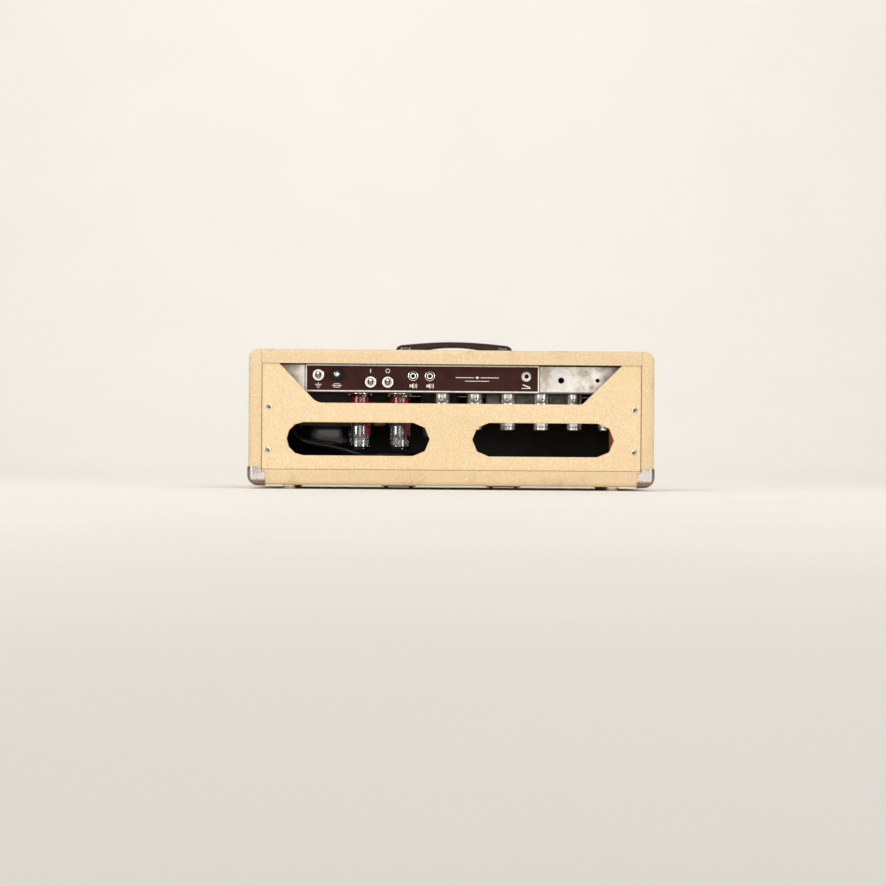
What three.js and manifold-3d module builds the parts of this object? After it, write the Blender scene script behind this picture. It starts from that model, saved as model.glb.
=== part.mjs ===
// Valve guitar amplifier head in a covered wooden cabinet, built as separate pieces.
// Millimetres, +Z up. The origin is centred under the cabinet, on the plane its four glides stand on.
// The control panel faces -Y, and the back, with its switches and jacks, faces +Y.
import * as THREE from "three";
import { mergeVertices } from "three/addons/utils/BufferGeometryUtils.js";
import Module from "manifold-3d";

const wasm = await Module();
wasm.setup();

// ---------------------------------------------------------------- driving dimensions

const WIDTH = 616; // cabinet over its covering
const DEPTH = 229;
const HEIGHT = 206; // cabinet box, without glides and handle
const GLIDE_HEIGHT = 6;
const TOP_THICKNESS = 20.4;
const BOTTOM_THICKNESS = 22;
const SIDE_THICKNESS = 19;
const CORNER_RADIUS = 15; // seen from the front or back
const EDGE_RADIUS = 8; // round-over of the front and back edges

const HALF_WIDTH = WIDTH / 2;
const HALF_DEPTH = DEPTH / 2;
const BOX_BOTTOM = GLIDE_HEIGHT;
const BOX_TOP = GLIDE_HEIGHT + HEIGHT;
const INNER_X = HALF_WIDTH - SIDE_THICKNESS;
const INNER_FLOOR = BOX_BOTTOM + BOTTOM_THICKNESS;
const INNER_CEILING = BOX_TOP - TOP_THICKNESS;
const FIT_GAP = 0.3; // clearance where one piece rests in or against another
const PANEL_GAP = 0.7; // clearance round a board that drops into the cabinet

const CLEAT = { left: 19, right: 48, rear: 106, depth: 19, top: 140 }; // screw cleats behind the back panel
const DOCK_PLATE = { x: 80, y: 84, half: [26, 9], drop: 1.8 }; // where the locks of the cabinet below bear
const BACK_PANEL = { front: 106, rear: 113 };
const BAFFLE = { front: -108, rear: -96, top: 145 };
const CLOTH_THICKNESS = 1.9;

const SHEET = 1.5; // chassis steel
const CHASSIS = { halfLength: 288.2, bottom: 147.6, top: 191.3, rear: 94, frontBottom: -99 };
const FRONT_TILT = THREE.MathUtils.degToRad(20); // control panel leans back, so it faces slightly up
const FACEPLATE_THICKNESS = 1.2;
const REAR_PLATE = { left: -133.4, right: 222.6, bottom: 148.4, top: 189.6 };
const UNDER_CHASSIS = CHASSIS.bottom - FIT_GAP; // top of everything that hangs from the chassis

const KNOB_NAMES = [
  "knob_normal_volume",
  "knob_normal_treble",
  "knob_normal_bass",
  "knob_bright_volume",
  "knob_bright_treble",
  "knob_bright_bass",
  "knob_tremolo_speed",
  "knob_tremolo_intensity",
  "knob_presence",
];
const KNOB_PITCH = 36;
const FIRST_KNOB_X = { normal: -180, bright: -10 }; // three knobs, then six, each a pitch apart
const NORMAL_KNOBS = 3;
const PILOT_X = 226;

const SWITCHES = [
  { name: "ground", x: 203.1, z: 173.4 },
  { name: "power", x: 123.6, z: 163.3 },
  { name: "standby", x: 97.5, z: 163.2 },
];
const LEVER_TILT = THREE.MathUtils.degToRad(12);
const FUSE = { x: 174.8, z: 174.4 };
const JACKS = [
  { name: "speaker_jack", x: 59, z: 172.7 },
  { name: "extension_jack", x: 33.4, z: 172.6 },
];
const PEDAL_HOLE = { x: -113.6, z: 173.2, radius: 5.9 };
const BARE_HOLES = [
  { x: -167.1, z: 167.7, radius: 4.75 }, // 3/8 in, left empty
  { x: -222.6, z: 167.9, radius: 3.15 }, // 1/4 in, left empty
];

const POWER_TUBES = [
  { x: 140.5, y: 50 },
  { x: 79.3, y: 50 },
];
const POWER_TUBE_BOTTOM = 60;
const SHIELD_X = [14.2, -36.7, -87.9, -139.4, -190.7, -239.3];
const SHIELD_Y = 50;
const SHIELD_BOTTOM = 91.5;

const HANDLE = { x: -5, half: 91, width: 26, slotX: 76 };
const GLIDE = { x: 246, y: 90 };
const CORNER = { reach: 26, height: 27.5, notch: 7.5, gap: 0.2, metal: 1.2 };

const CORD_RADIUS = 3.5;
const CORD_EXIT = { x: 246, y: 66, z: 122 };
const COIL = { x: 80, y: 5, inner: 35, outer: 49, layers: 4 };
const PLUG = { x: 146, y: -40.5 }; // the face its blades stand on
// The lead from the strain relief to the coil: down, behind the mains transformer, and sagging to the coil.
const LEAD_ROUTE = [
  [246, 66, 121.7],
  [246, 66, 108],
  [245.4, 67, 96],
  [242, 70, 85.5],
  [234.5, 75, 77.5],
  [222.5, 79.5, 72.3],
  [207, 81.5, 68.8],
  [189, 81.5, 65.8],
  [171, 80, 61.6],
  [155, 77, 56.8],
  [142, 71.5, 53.2],
  [131, 64.5, 51.6],
  [121, 57.5, 51.6],
  [113, 53, 52.4],
  [106, 50.6, 52.8],
];

// ---------------------------------------------------------------- solids and geometries

// A closed geometry as a solid that can be cut and joined.
function toSolid(geometry) {
  const bare = geometry.clone();
  bare.deleteAttribute("normal");
  bare.deleteAttribute("uv");
  const merged = mergeVertices(bare, 1e-4);
  return new wasm.Manifold(
    new wasm.Mesh({
      numProp: 3,
      vertProperties: merged.attributes.position.array,
      triVerts: new Uint32Array(merged.index.array),
    }),
  );
}

function toGeometry(solid) {
  const mesh = solid.getMesh();
  const geometry = new THREE.BufferGeometry();
  geometry.setAttribute("position", new THREE.BufferAttribute(mesh.vertProperties, 3));
  geometry.setIndex(new THREE.BufferAttribute(mesh.triVerts, 1));
  geometry.computeVertexNormals();
  return geometry;
}

// A box between two corners.
function block([x0, y0, z0], [x1, y1, z1]) {
  const geometry = new THREE.BoxGeometry(x1 - x0, y1 - y0, z1 - z0);
  return geometry.translate((x0 + x1) / 2, (y0 + y1) / 2, (z0 + z1) / 2);
}

const TURN_TO = {
  x: (geometry) => geometry.rotateZ(-Math.PI / 2),
  y: (geometry) => geometry,
  z: (geometry) => geometry.rotateX(Math.PI / 2),
};

// A cylinder along one axis, centred on a point.
function rod(axis, radius, length, [x, y, z], segments = 16) {
  const geometry = TURN_TO[axis](new THREE.CylinderGeometry(radius, radius, length, segments));
  return geometry.translate(x, y, z);
}

// A turned piece: [radius, height] pairs, run from the low end to the high end of the outside.
function turned(axis, profile, segments = 16) {
  const points = profile.map(([radius, height]) => new THREE.Vector2(radius, height));
  return TURN_TO[axis](new THREE.LatheGeometry(points, segments));
}

// A plate whose outline is drawn in X and Z, and which runs from one Y to another.
function plateAlongY(shape, yFront, yRear, bevel = 0, bevelSegments = 3, curveSegments = 6) {
  const geometry = new THREE.ExtrudeGeometry(shape, {
    depth: yRear - yFront - 2 * bevel,
    bevelEnabled: bevel > 0,
    bevelThickness: bevel,
    bevelSize: bevel,
    bevelOffset: -bevel,
    bevelSegments,
    curveSegments,
  });
  return geometry.rotateX(Math.PI / 2).translate(0, yRear - bevel, 0);
}

// A length of a section drawn in Y and Z, running from one X to another.
function lengthAlongX(shape, xStart, xEnd) {
  const geometry = new THREE.ExtrudeGeometry(shape, { depth: xEnd - xStart, bevelEnabled: false });
  const yzToWorld = new THREE.Matrix4().makeBasis(
    new THREE.Vector3(0, 1, 0),
    new THREE.Vector3(0, 0, 1),
    new THREE.Vector3(1, 0, 0),
  );
  return geometry.applyMatrix4(yzToWorld).translate(xStart, 0, 0);
}

function polygon(points) {
  return new THREE.Shape(points.map(([u, v]) => new THREE.Vector2(u, v)));
}

function roundedRectangle(left, right, bottom, top, radius) {
  const shape = new THREE.Shape();
  shape.absarc(right - radius, bottom + radius, radius, -Math.PI / 2, 0);
  shape.absarc(right - radius, top - radius, radius, 0, Math.PI / 2);
  shape.absarc(left + radius, top - radius, radius, Math.PI / 2, Math.PI);
  shape.absarc(left + radius, bottom + radius, radius, Math.PI, 1.5 * Math.PI);
  return shape;
}

// An outline through [x, z, radius] corners, each rounded off over its radius.
function filletedOutline(corners) {
  const shape = new THREE.Shape();
  corners.forEach(([x, z, radius], i) => {
    const corner = new THREE.Vector2(x, z);
    const before = new THREE.Vector2(...corners.at(i - 1));
    const after = new THREE.Vector2(...corners[(i + 1) % corners.length]);
    const enter = before.sub(corner).setLength(radius).add(corner);
    const leave = after.sub(corner).setLength(radius).add(corner);
    if (i === 0) shape.moveTo(enter.x, enter.y);
    else shape.lineTo(enter.x, enter.y);
    if (radius > 0) shape.quadraticCurveTo(corner.x, corner.y, leave.x, leave.y);
  });
  shape.closePath();
  return shape;
}

// ---------------------------------------------------------------- materials

function paint(color, roughness, metalness = 0) {
  return new THREE.MeshStandardMaterial({ color, roughness, metalness });
}

const FINISH = {
  tolex: paint(0xe8cda0, 0.75),
  grille: paint(0x6b2f2c, 0.9),
  steel: paint(0xb9b3a8, 0.4, 0.9),
  nickel: paint(0xcfc9bd, 0.25, 1),
  aluminium: paint(0xd6d4ce, 0.35, 0.95),
  faceplate: paint(0x3e2725, 0.45, 0.2),
  handle: paint(0x2b211f, 0.5),
  cream: paint(0xe9dcc0, 0.4),
  black: paint(0x141312, 0.45),
  blackSteel: paint(0x1b1a19, 0.4, 0.3),
  glass: paint(0x9aa0a0, 0.08),
  jewel: paint(0x8f1010, 0.15),
  cord: paint(0x121212, 0.6),
};

const amp = new THREE.Group();

function piece(name, geometry, material, parent = amp) {
  const mesh = new THREE.Mesh(geometry, material);
  mesh.name = name;
  parent.add(mesh);
  return mesh;
}

// ---------------------------------------------------------------- cabinet

// The cabinet's outer form, grown outwards all round by an offset.
function cabinetForm(offset) {
  const outline = roundedRectangle(
    -HALF_WIDTH - offset,
    HALF_WIDTH + offset,
    BOX_BOTTOM - offset,
    BOX_TOP + offset,
    CORNER_RADIUS + offset,
  );
  return toSolid(plateAlongY(outline, -HALF_DEPTH - offset, HALF_DEPTH + offset, EDGE_RADIUS + offset));
}

const BEYOND = 20; // cutters run this far past what they cut

function cabinetPart(from, to) {
  return cabinetForm(0).intersect(toSolid(block(from, to)));
}

function addBoards() {
  const outX = HALF_WIDTH + BEYOND;
  const outY = HALF_DEPTH + BEYOND;
  const top = cabinetPart([-outX, -outY, INNER_CEILING], [outX, outY, BOX_TOP + BEYOND]);
  let bottom = cabinetPart([-outX, -outY, BOX_BOTTOM - BEYOND], [outX, outY, INNER_FLOOR]);
  for (const x of [-DOCK_PLATE.x, DOCK_PLATE.x]) {
    for (const y of [-DOCK_PLATE.y, DOCK_PLATE.y]) {
      const [halfX, halfY] = DOCK_PLATE.half;
      const plate = block(
        [x - halfX, y - halfY, BOX_BOTTOM - DOCK_PLATE.drop],
        [x + halfX, y + halfY, BOX_BOTTOM + 1],
      );
      bottom = bottom.add(toSolid(plate));
    }
  }
  piece("top_board", toGeometry(top), FINISH.tolex);
  piece("bottom_board", toGeometry(bottom), FINISH.tolex);
  for (const [name, side] of [["side_board_left", 1], ["side_board_right", -1]]) {
    const [xLow, xHigh] = side > 0 ? [INNER_X, outX] : [-outX, -INNER_X];
    const board = cabinetPart([xLow, -outY, INNER_FLOOR], [xHigh, outY, INNER_CEILING]);
    const inner = side * (INNER_X - (side > 0 ? CLEAT.left : CLEAT.right));
    const outer = side * (INNER_X + 1);
    const cleat = block(
      [Math.min(inner, outer), CLEAT.rear - CLEAT.depth, INNER_FLOOR],
      [Math.max(inner, outer), CLEAT.rear, CLEAT.top],
    );
    piece(name, toGeometry(board.add(toSolid(cleat))), FINISH.tolex);
  }
}

// The back panel: a wide notch at its top shows the chassis, and two long slots below let heat out.
function addBackPanel() {
  const edge = INNER_X - PANEL_GAP;
  const bottom = INNER_FLOOR + PANEL_GAP;
  const top = INNER_CEILING - PANEL_GAP;
  const outline = filletedOutline([
    [-edge, bottom, 0],
    [edge, bottom, 0],
    [edge, top, 0],
    [261.5, top, 0],
    [204.5, 130.7, 22],
    [-198, 130.7, 10],
    [-258.1, top, 0],
    [-edge, top, 0],
  ]);
  for (const [left, right, height] of [[33.2, 249.6, 50.2], [-246.6, -31.3, 51]]) {
    const middle = 51 + height / 2;
    const radius = height / 2;
    const slot = new THREE.Path();
    slot.absarc(right - radius, middle, radius, -Math.PI / 2, Math.PI / 2);
    slot.absarc(left + radius, middle, radius, Math.PI / 2, 1.5 * Math.PI);
    slot.closePath();
    outline.holes.push(slot);
  }
  piece("back_panel", plateAlongY(outline, BACK_PANEL.front, BACK_PANEL.rear), FINISH.tolex);
}

function addGrille() {
  const edge = INNER_X - PANEL_GAP;
  const bottom = INNER_FLOOR + PANEL_GAP;
  const clothRear = BAFFLE.front - FIT_GAP;
  const baffle = block([-edge, BAFFLE.front, bottom], [edge, BAFFLE.rear, BAFFLE.top]);
  const cloth = block([-edge, clothRear - CLOTH_THICKNESS, bottom], [edge, clothRear, BAFFLE.top]);
  piece("grille_baffle", baffle, FINISH.black);
  piece("grille_cloth", cloth, FINISH.grille);
}

// A three-sided pressed cap over each bottom corner, with a round notch in each of its free corners.
function addCorners() {
  const grown = CORNER.gap + CORNER.metal;
  const skin = cabinetForm(grown).subtract(cabinetForm(CORNER.gap));
  const notchX = HALF_WIDTH - CORNER.reach;
  const notchY = HALF_DEPTH - CORNER.reach;
  const notchZ = BOX_BOTTOM + CORNER.height;
  for (const [name, sx, sy] of [
    ["corner_front_right", -1, -1],
    ["corner_front_left", 1, -1],
    ["corner_rear_left", 1, 1],
    ["corner_rear_right", -1, 1],
  ]) {
    const xs = [sx * notchX, sx * (HALF_WIDTH + BEYOND)].sort((a, b) => a - b);
    const ys = [sy * notchY, sy * (HALF_DEPTH + BEYOND)].sort((a, b) => a - b);
    const region = block([xs[0], ys[0], BOX_BOTTOM - BEYOND], [xs[1], ys[1], notchZ]);
    const cap = [
      rod("y", CORNER.notch, BEYOND, [sx * notchX, sy * HALF_DEPTH, notchZ]),
      rod("x", CORNER.notch, BEYOND, [sx * HALF_WIDTH, sy * notchY, notchZ]),
      rod("z", CORNER.notch, BEYOND, [sx * notchX, sy * notchY, BOX_BOTTOM]),
    ].reduce((solid, notch) => solid.subtract(toSolid(notch)), skin.intersect(toSolid(region)));
    piece(name, toGeometry(cap), FINISH.nickel);
  }
}

function addGlides() {
  const profile = [
    [0, 0],
    [7, 0],
    [9.3, 1.1],
    [10.5, 3.4],
    [10.5, GLIDE_HEIGHT],
    [0, GLIDE_HEIGHT],
  ];
  for (const [name, sx, sy] of [
    ["glide_front_right", -1, -1],
    ["glide_front_left", 1, -1],
    ["glide_rear_left", 1, 1],
    ["glide_rear_right", -1, 1],
  ]) {
    piece(name, turned("z", profile), FINISH.nickel).position.set(sx * GLIDE.x, sy * GLIDE.y, 0);
  }
}

// ---------------------------------------------------------------- carrying handle

// The grip's side view, from its base upwards: flat ends, an arched underside and a crowned top.
function handleOutline() {
  const end = HANDLE.half;
  const shape = new THREE.Shape();
  shape.moveTo(-end + 3, 0);
  shape.lineTo(-64, 0);
  shape.bezierCurveTo(-50, 0, -44, 8.9, 0, 8.9);
  shape.bezierCurveTo(44, 8.9, 50, 0, 64, 0);
  shape.lineTo(end - 3, 0);
  shape.quadraticCurveTo(end, 0, end, 3);
  shape.bezierCurveTo(end, 8.5, end - 4, 11.6, end - 11, 12.5);
  shape.bezierCurveTo(58, 14.6, 30, 17.5, 0, 17.5);
  shape.bezierCurveTo(-30, 17.5, -58, 14.6, -end + 11, 12.5);
  shape.bezierCurveTo(-end + 4, 11.6, -end, 8.5, -end, 3);
  shape.quadraticCurveTo(-end, 0, -end + 3, 0);
  return shape;
}

function addHandle() {
  const half = HANDLE.width / 2;
  let grip = toSolid(plateAlongY(handleOutline(), -half, half, 2, 2, 7));
  for (const side of [-1, 1]) {
    const x = side * HANDLE.slotX;
    grip = grip.subtract(toSolid(block([x - 7.2, -BEYOND, 2.5], [x + 7.2, BEYOND, 9.5])));
  }
  piece("handle", toGeometry(grip), FINISH.handle).position.set(HANDLE.x, 0, BOX_TOP + FIT_GAP);

  // Each bracket is a strap bent over the bar in the grip's end, with a screwed-down ear on both sides.
  const strap = polygon([
    [-27, 0],
    [-14, 0],
    [-14, 7.2],
    [14, 7.2],
    [14, 0],
    [27, 0],
    [27, SHEET],
    [14 + SHEET, SHEET],
    [14 + SHEET, 7.2 + SHEET],
    [-14 - SHEET, 7.2 + SHEET],
    [-14 - SHEET, SHEET],
    [-27, SHEET],
  ]);
  for (const [name, side] of [["handle_bracket_left", 1], ["handle_bracket_right", -1]]) {
    const bracket = piece(name, lengthAlongX(strap, -6.5, 6.5), FINISH.nickel);
    bracket.position.set(HANDLE.x + side * HANDLE.slotX, 0, BOX_TOP);
  }
}

// ---------------------------------------------------------------- chassis and faceplates

// Where the control panel's outer face stands at a height above the chassis's underside.
function frontFaceY(height) {
  return CHASSIS.frontBottom + height * Math.tan(FRONT_TILT);
}

function addChassis() {
  const { halfLength, bottom, top, rear } = CHASSIS;
  const wallDepth = SHEET / Math.cos(FRONT_TILT);
  const rise = top - bottom;
  const outside = polygon([
    [frontFaceY(0), bottom],
    [rear, bottom],
    [rear, top],
    [frontFaceY(rise), top],
  ]);
  const inside = polygon([
    [frontFaceY(SHEET) + wallDepth, bottom + SHEET],
    [rear - SHEET, bottom + SHEET],
    [rear - SHEET, top + SHEET],
    [frontFaceY(rise + SHEET) + wallDepth, top + SHEET],
  ]);
  let tray = toSolid(lengthAlongX(outside, -halfLength, halfLength));
  tray = tray.subtract(toSolid(lengthAlongX(inside, -halfLength + SHEET, halfLength - SHEET)));
  for (const { x, z, radius } of rearHoles()) {
    tray = tray.subtract(toSolid(rod("y", radius, 6 * SHEET, [x, rear, z], 14)));
  }
  piece("chassis", toGeometry(tray), FINISH.steel);
}

const BUSHING_HOLE = 6.2;
const FUSE_HOLE = 7.9;

// Every hole in the chassis's back wall.
function rearHoles() {
  return [...plateHoles(), ...BARE_HOLES];
}

// The holes that the rear faceplate shares with the chassis.
function plateHoles() {
  return [
    ...SWITCHES.map(({ x, z }) => ({ x, z, radius: BUSHING_HOLE })),
    ...JACKS.map(({ x, z }) => ({ x, z, radius: BUSHING_HOLE })),
    { ...FUSE, radius: FUSE_HOLE },
    PEDAL_HOLE,
  ];
}

function addRearFaceplate() {
  const { left, right, bottom, top } = REAR_PLATE;
  const plateRear = CHASSIS.rear + FIT_GAP + FACEPLATE_THICKNESS;
  const outline = roundedRectangle(left, right, bottom, top, 2.5);
  for (const { x, z, radius } of plateHoles()) {
    const hole = new THREE.Path();
    hole.absarc(x, z, radius, 0, 2 * Math.PI, true);
    outline.holes.push(hole);
  }
  const plate = plateAlongY(outline, CHASSIS.rear + FIT_GAP, plateRear, 0, 0, 7);
  piece("rear_faceplate", plate, FINISH.faceplate);
}

// The control panel's own frame: X along the panel, Y up its slope and Z out of it.
function controlPanelGroup() {
  const group = new THREE.Group();
  group.position.set(0, CHASSIS.frontBottom, CHASSIS.bottom);
  group.rotation.x = Math.PI / 2 - FRONT_TILT;
  amp.add(group);
  return group;
}

function addControlPanel() {
  const panel = controlPanelGroup();
  const slope = (CHASSIS.top - CHASSIS.bottom) / Math.cos(FRONT_TILT);
  const plateFace = FIT_GAP + FACEPLATE_THICKNESS;
  const plateHalf = CHASSIS.halfLength - 2;
  const plate = block([-plateHalf, 1.5, FIT_GAP], [plateHalf, slope - 1.5, plateFace]);
  piece("front_faceplate", plate, FINISH.faceplate, panel);

  const knobProfile = [
    [0, 0],
    [13, 0],
    [13, 2.6],
    [12.2, 3.6],
    [9.2, 4.4],
    [8.4, 13.8],
    [7.4, 15],
    [0, 15],
  ];
  KNOB_NAMES.forEach((name, i) => {
    const bright = i >= NORMAL_KNOBS;
    const start = bright ? FIRST_KNOB_X.bright : FIRST_KNOB_X.normal;
    const place = bright ? i - NORMAL_KNOBS : i;
    const knob = piece(name, turned("z", knobProfile), FINISH.cream, panel);
    knob.position.set(start + place * KNOB_PITCH, slope / 2, plateFace + 0.5);
  });

  const jewelProfile = [
    [0, 0],
    [9.5, 0],
    [9.5, 1.6],
    [8, 2.4],
    [7.2, 5.2],
    [4.6, 8.2],
    [0, 9.4],
  ];
  const jewel = piece("pilot_lamp", turned("z", jewelProfile), FINISH.jewel, panel);
  jewel.position.set(PILOT_X, slope / 2, plateFace + FIT_GAP);
}

// ---------------------------------------------------------------- rear switches, fuse and jacks

const PLATE_FACE = CHASSIS.rear + FIT_GAP + FACEPLATE_THICKNESS;
const NUT_BACK = PLATE_FACE + FIT_GAP;

// A toggle switch: a housing inside the chassis, and a threaded bushing and dress nut outside it.
function addSwitch({ name, x, z }) {
  const bushingEnd = 104;
  const pivotY = 100.5;
  const wallFace = CHASSIS.rear - SHEET - FIT_GAP;
  const housing = toSolid(block([-8.5, wallFace - 20, -14], [8.5, wallFace, 14]));
  const bushing = toSolid(rod("y", 5.9, bushingEnd - wallFace + 1, [0, (bushingEnd + wallFace - 1) / 2, 0]));
  const nut = toSolid(rod("y", 8.9, 3.2, [0, NUT_BACK + 1.6, 0], 20));
  const socket = toSolid(rod("y", 4.9, 8.5, [0, bushingEnd - 4.25 + 0.5, 0]));
  const body = housing.add(bushing).add(nut).subtract(socket);
  piece(name + "_switch", toGeometry(body), FINISH.nickel).position.set(x, 0, z);

  // The bat lever: a ball in the bushing and a tapering bat with a round end, thrown up at rest.
  const leverProfile = [
    [0, -4],
    [3, -2.8],
    [4.1, -0.6],
    [3.3, 2.2],
    [1.9, 3.4],
    [3, 11.2],
    [2.2, 12.8],
    [0, 13.4],
  ];
  const lever = piece(name + "_lever", turned("y", leverProfile, 12), FINISH.nickel);
  lever.position.set(x, pivotY, z);
  lever.rotation.x = LEVER_TILT;
}

function addFuse() {
  const holderFace = NUT_BACK + 3;
  const holder = turned("y", [
    [4.6, 58],
    [7.6, 58],
    [7.6, NUT_BACK],
    [9.4, NUT_BACK],
    [9.4, holderFace],
    [4.6, holderFace],
    [4.6, 58],
  ]);
  const carrier = turned("y", [
    [0, 60],
    [4.1, 60],
    [4.1, holderFace],
    [2.3, holderFace],
    [2.3, holderFace + 6],
    [0, holderFace + 6],
  ]);
  const capBack = holderFace + 0.4;
  const cap = turned("y", [
    [0, capBack + 6.2],
    [2.7, capBack + 6.2],
    [2.7, capBack],
    [8.2, capBack],
    [8, capBack + 7.8],
    [7, capBack + 9],
    [0, capBack + 9],
  ]);
  piece("fuse_holder", holder, FINISH.black).position.set(FUSE.x, 0, FUSE.z);
  piece("fuse_carrier", carrier, FINISH.nickel).position.set(FUSE.x, 0, FUSE.z);
  piece("fuse_cap", cap, FINISH.black).position.set(FUSE.x, 0, FUSE.z);
}

function addJack({ name, x, z }) {
  const profile = [
    [3.2, 78],
    [5.7, 78],
    [5.7, NUT_BACK],
    [7.9, NUT_BACK],
    [7.9, NUT_BACK + 2.6],
    [5.2, NUT_BACK + 2.6],
    [5.2, NUT_BACK + 4.4],
    [3.2, NUT_BACK + 4.4],
    [3.2, 78],
  ];
  piece(name, turned("y", profile), FINISH.nickel).position.set(x, 0, z);
}

// ---------------------------------------------------------------- valves and transformers

function addPowerTubes() {
  const socketBottom = UNDER_CHASSIS - 6;
  const baseTop = socketBottom - FIT_GAP;
  const baseBottom = 118;
  const socketProfile = [
    [0, socketBottom],
    [14, socketBottom],
    [19, UNDER_CHASSIS - 1.5],
    [19, UNDER_CHASSIS],
    [0, UNDER_CHASSIS],
  ];
  const tubeProfile = [
    [0, POWER_TUBE_BOTTOM],
    [7, POWER_TUBE_BOTTOM + 1.2],
    [12.5, POWER_TUBE_BOTTOM + 4.6],
    [16, POWER_TUBE_BOTTOM + 10.5],
    [17, POWER_TUBE_BOTTOM + 18],
    [17, baseBottom - 6],
    [16, baseBottom],
    [16.3, baseBottom + 1],
    [16.3, baseTop],
    [0, baseTop],
  ];
  POWER_TUBES.forEach(({ x, y }, i) => {
    const number = i + 1;
    piece("tube_socket_" + number, turned("z", socketProfile), FINISH.nickel).position.set(x, y, 0);
    piece("power_tube_" + number, turned("z", tubeProfile), FINISH.glass).position.set(x, y, 0);
  });
}

// Each small valve stands in its own screening can, which is open below round the glass.
function addShieldedTubes() {
  const seat = UNDER_CHASSIS - 3;
  const profile = [
    [0, 96],
    [6.5, 97.2],
    [9.4, 101],
    [9.4, seat],
    [11.7, seat],
    [11.7, SHIELD_BOTTOM + 2],
    [7.2, SHIELD_BOTTOM + 1],
    [7.2, SHIELD_BOTTOM],
    [10.8, SHIELD_BOTTOM],
    [12.5, SHIELD_BOTTOM + 1.8],
    [12.5, UNDER_CHASSIS],
    [0, UNDER_CHASSIS],
  ];
  SHIELD_X.forEach((x, i) => {
    piece("tube_shield_" + (i + 1), turned("z", profile), FINISH.aluminium).position.set(x, SHIELD_Y, 0);
  });
}

// A transformer or choke: a bevelled bell cover hanging below a wider core that bolts to the chassis.
function transformer(x0, x1, y0, y1, bottom, coreHeight) {
  const bellHeight = UNDER_CHASSIS - coreHeight - bottom;
  const bevel = 6;
  const bell = new THREE.ExtrudeGeometry(roundedRectangle(x0 + 3, x1 - 3, y0 + 3, y1 - 3, 9), {
    depth: bellHeight + 4 - 2 * bevel,
    bevelThickness: bevel,
    bevelSize: bevel,
    bevelOffset: -bevel,
    bevelSegments: 2,
    curveSegments: 4,
  }).translate(0, 0, bottom + bevel);
  const core = block([x0, y0, UNDER_CHASSIS - coreHeight], [x1, y1, UNDER_CHASSIS]);
  return toGeometry(toSolid(bell).add(toSolid(core)));
}

function addTransformers() {
  piece("power_transformer", transformer(151, 238, -54, 30, 63, 23), FINISH.blackSteel);
  piece("output_transformer", transformer(-12, 46, -48, 16, 80, 18), FINISH.steel);
  piece("choke", transformer(98, 128, -66, -14, 98, 12), FINISH.steel);
  const cover = block([-200, -80, 108], [-56, -6, UNDER_CHASSIS]);
  piece("filter_capacitor_cover", cover, FINISH.steel);
}

// ---------------------------------------------------------------- mains cord

function addCord() {
  const relief = turned("z", [
    [0, CORD_EXIT.z],
    [4.4, CORD_EXIT.z],
    [6.2, 140],
    [9, 142],
    [9, UNDER_CHASSIS],
    [0, UNDER_CHASSIS],
  ]);
  piece("cord_strain_relief", relief, FINISH.black).position.set(CORD_EXIT.x, CORD_EXIT.y, 0);

  const route = new THREE.CatmullRomCurve3(LEAD_ROUTE.map((point) => new THREE.Vector3(...point)));
  const section = polygon(
    Array.from({ length: 10 }, (_, i) => [
      CORD_RADIUS * Math.cos((i * Math.PI) / 5),
      CORD_RADIUS * Math.sin((i * Math.PI) / 5),
    ]),
  );
  const lead = new THREE.ExtrudeGeometry(section, { steps: 18, extrudePath: route, curveSegments: 1 });
  piece("mains_lead", lead, FINISH.cord);

  const coilBottom = INNER_FLOOR + FIT_GAP;
  const coilTop = coilBottom + COIL.layers * 2 * CORD_RADIUS;
  const ring = turned(
    "z",
    [
      [COIL.inner, coilBottom],
      [COIL.outer, coilBottom],
      [COIL.outer, coilTop],
      [COIL.inner, coilTop],
      [COIL.inner, coilBottom],
    ],
    28,
  );
  piece("mains_lead_coil", ring, FINISH.cord).position.set(COIL.x, COIL.y, 0);

  // The plug lies beside the coil, its blades pointing away from where the cord enters it.
  const body = turned("x", [
    [0, -36],
    [5, -36],
    [7, -24],
    [9, -17],
    [9, -3],
    [7, 0],
    [0, 0],
  ]);
  const blades = [-6.35, 6.35].map((y) => toSolid(block([-1, y - 0.8, -3.2], [17, y + 0.8, 3.2])));
  const plug = blades.reduce((solid, blade) => solid.add(blade), toSolid(body));
  const plugAxis = INNER_FLOOR + FIT_GAP + 9;
  piece("mains_plug", toGeometry(plug), FINISH.black).position.set(PLUG.x, PLUG.y, plugAxis);
}

addBoards();
addBackPanel();
addGrille();
addCorners();
addGlides();
addHandle();
addChassis();
addRearFaceplate();
addControlPanel();
SWITCHES.forEach(addSwitch);
addFuse();
JACKS.forEach(addJack);
addPowerTubes();
addShieldedTubes();
addTransformers();
addCord();

export default amp;
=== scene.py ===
"""A valve guitar amplifier head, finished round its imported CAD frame. Metres, +Z up, +Y out of the back."""

import math

import bmesh
import bpy
from mathutils import Matrix, Vector


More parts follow.
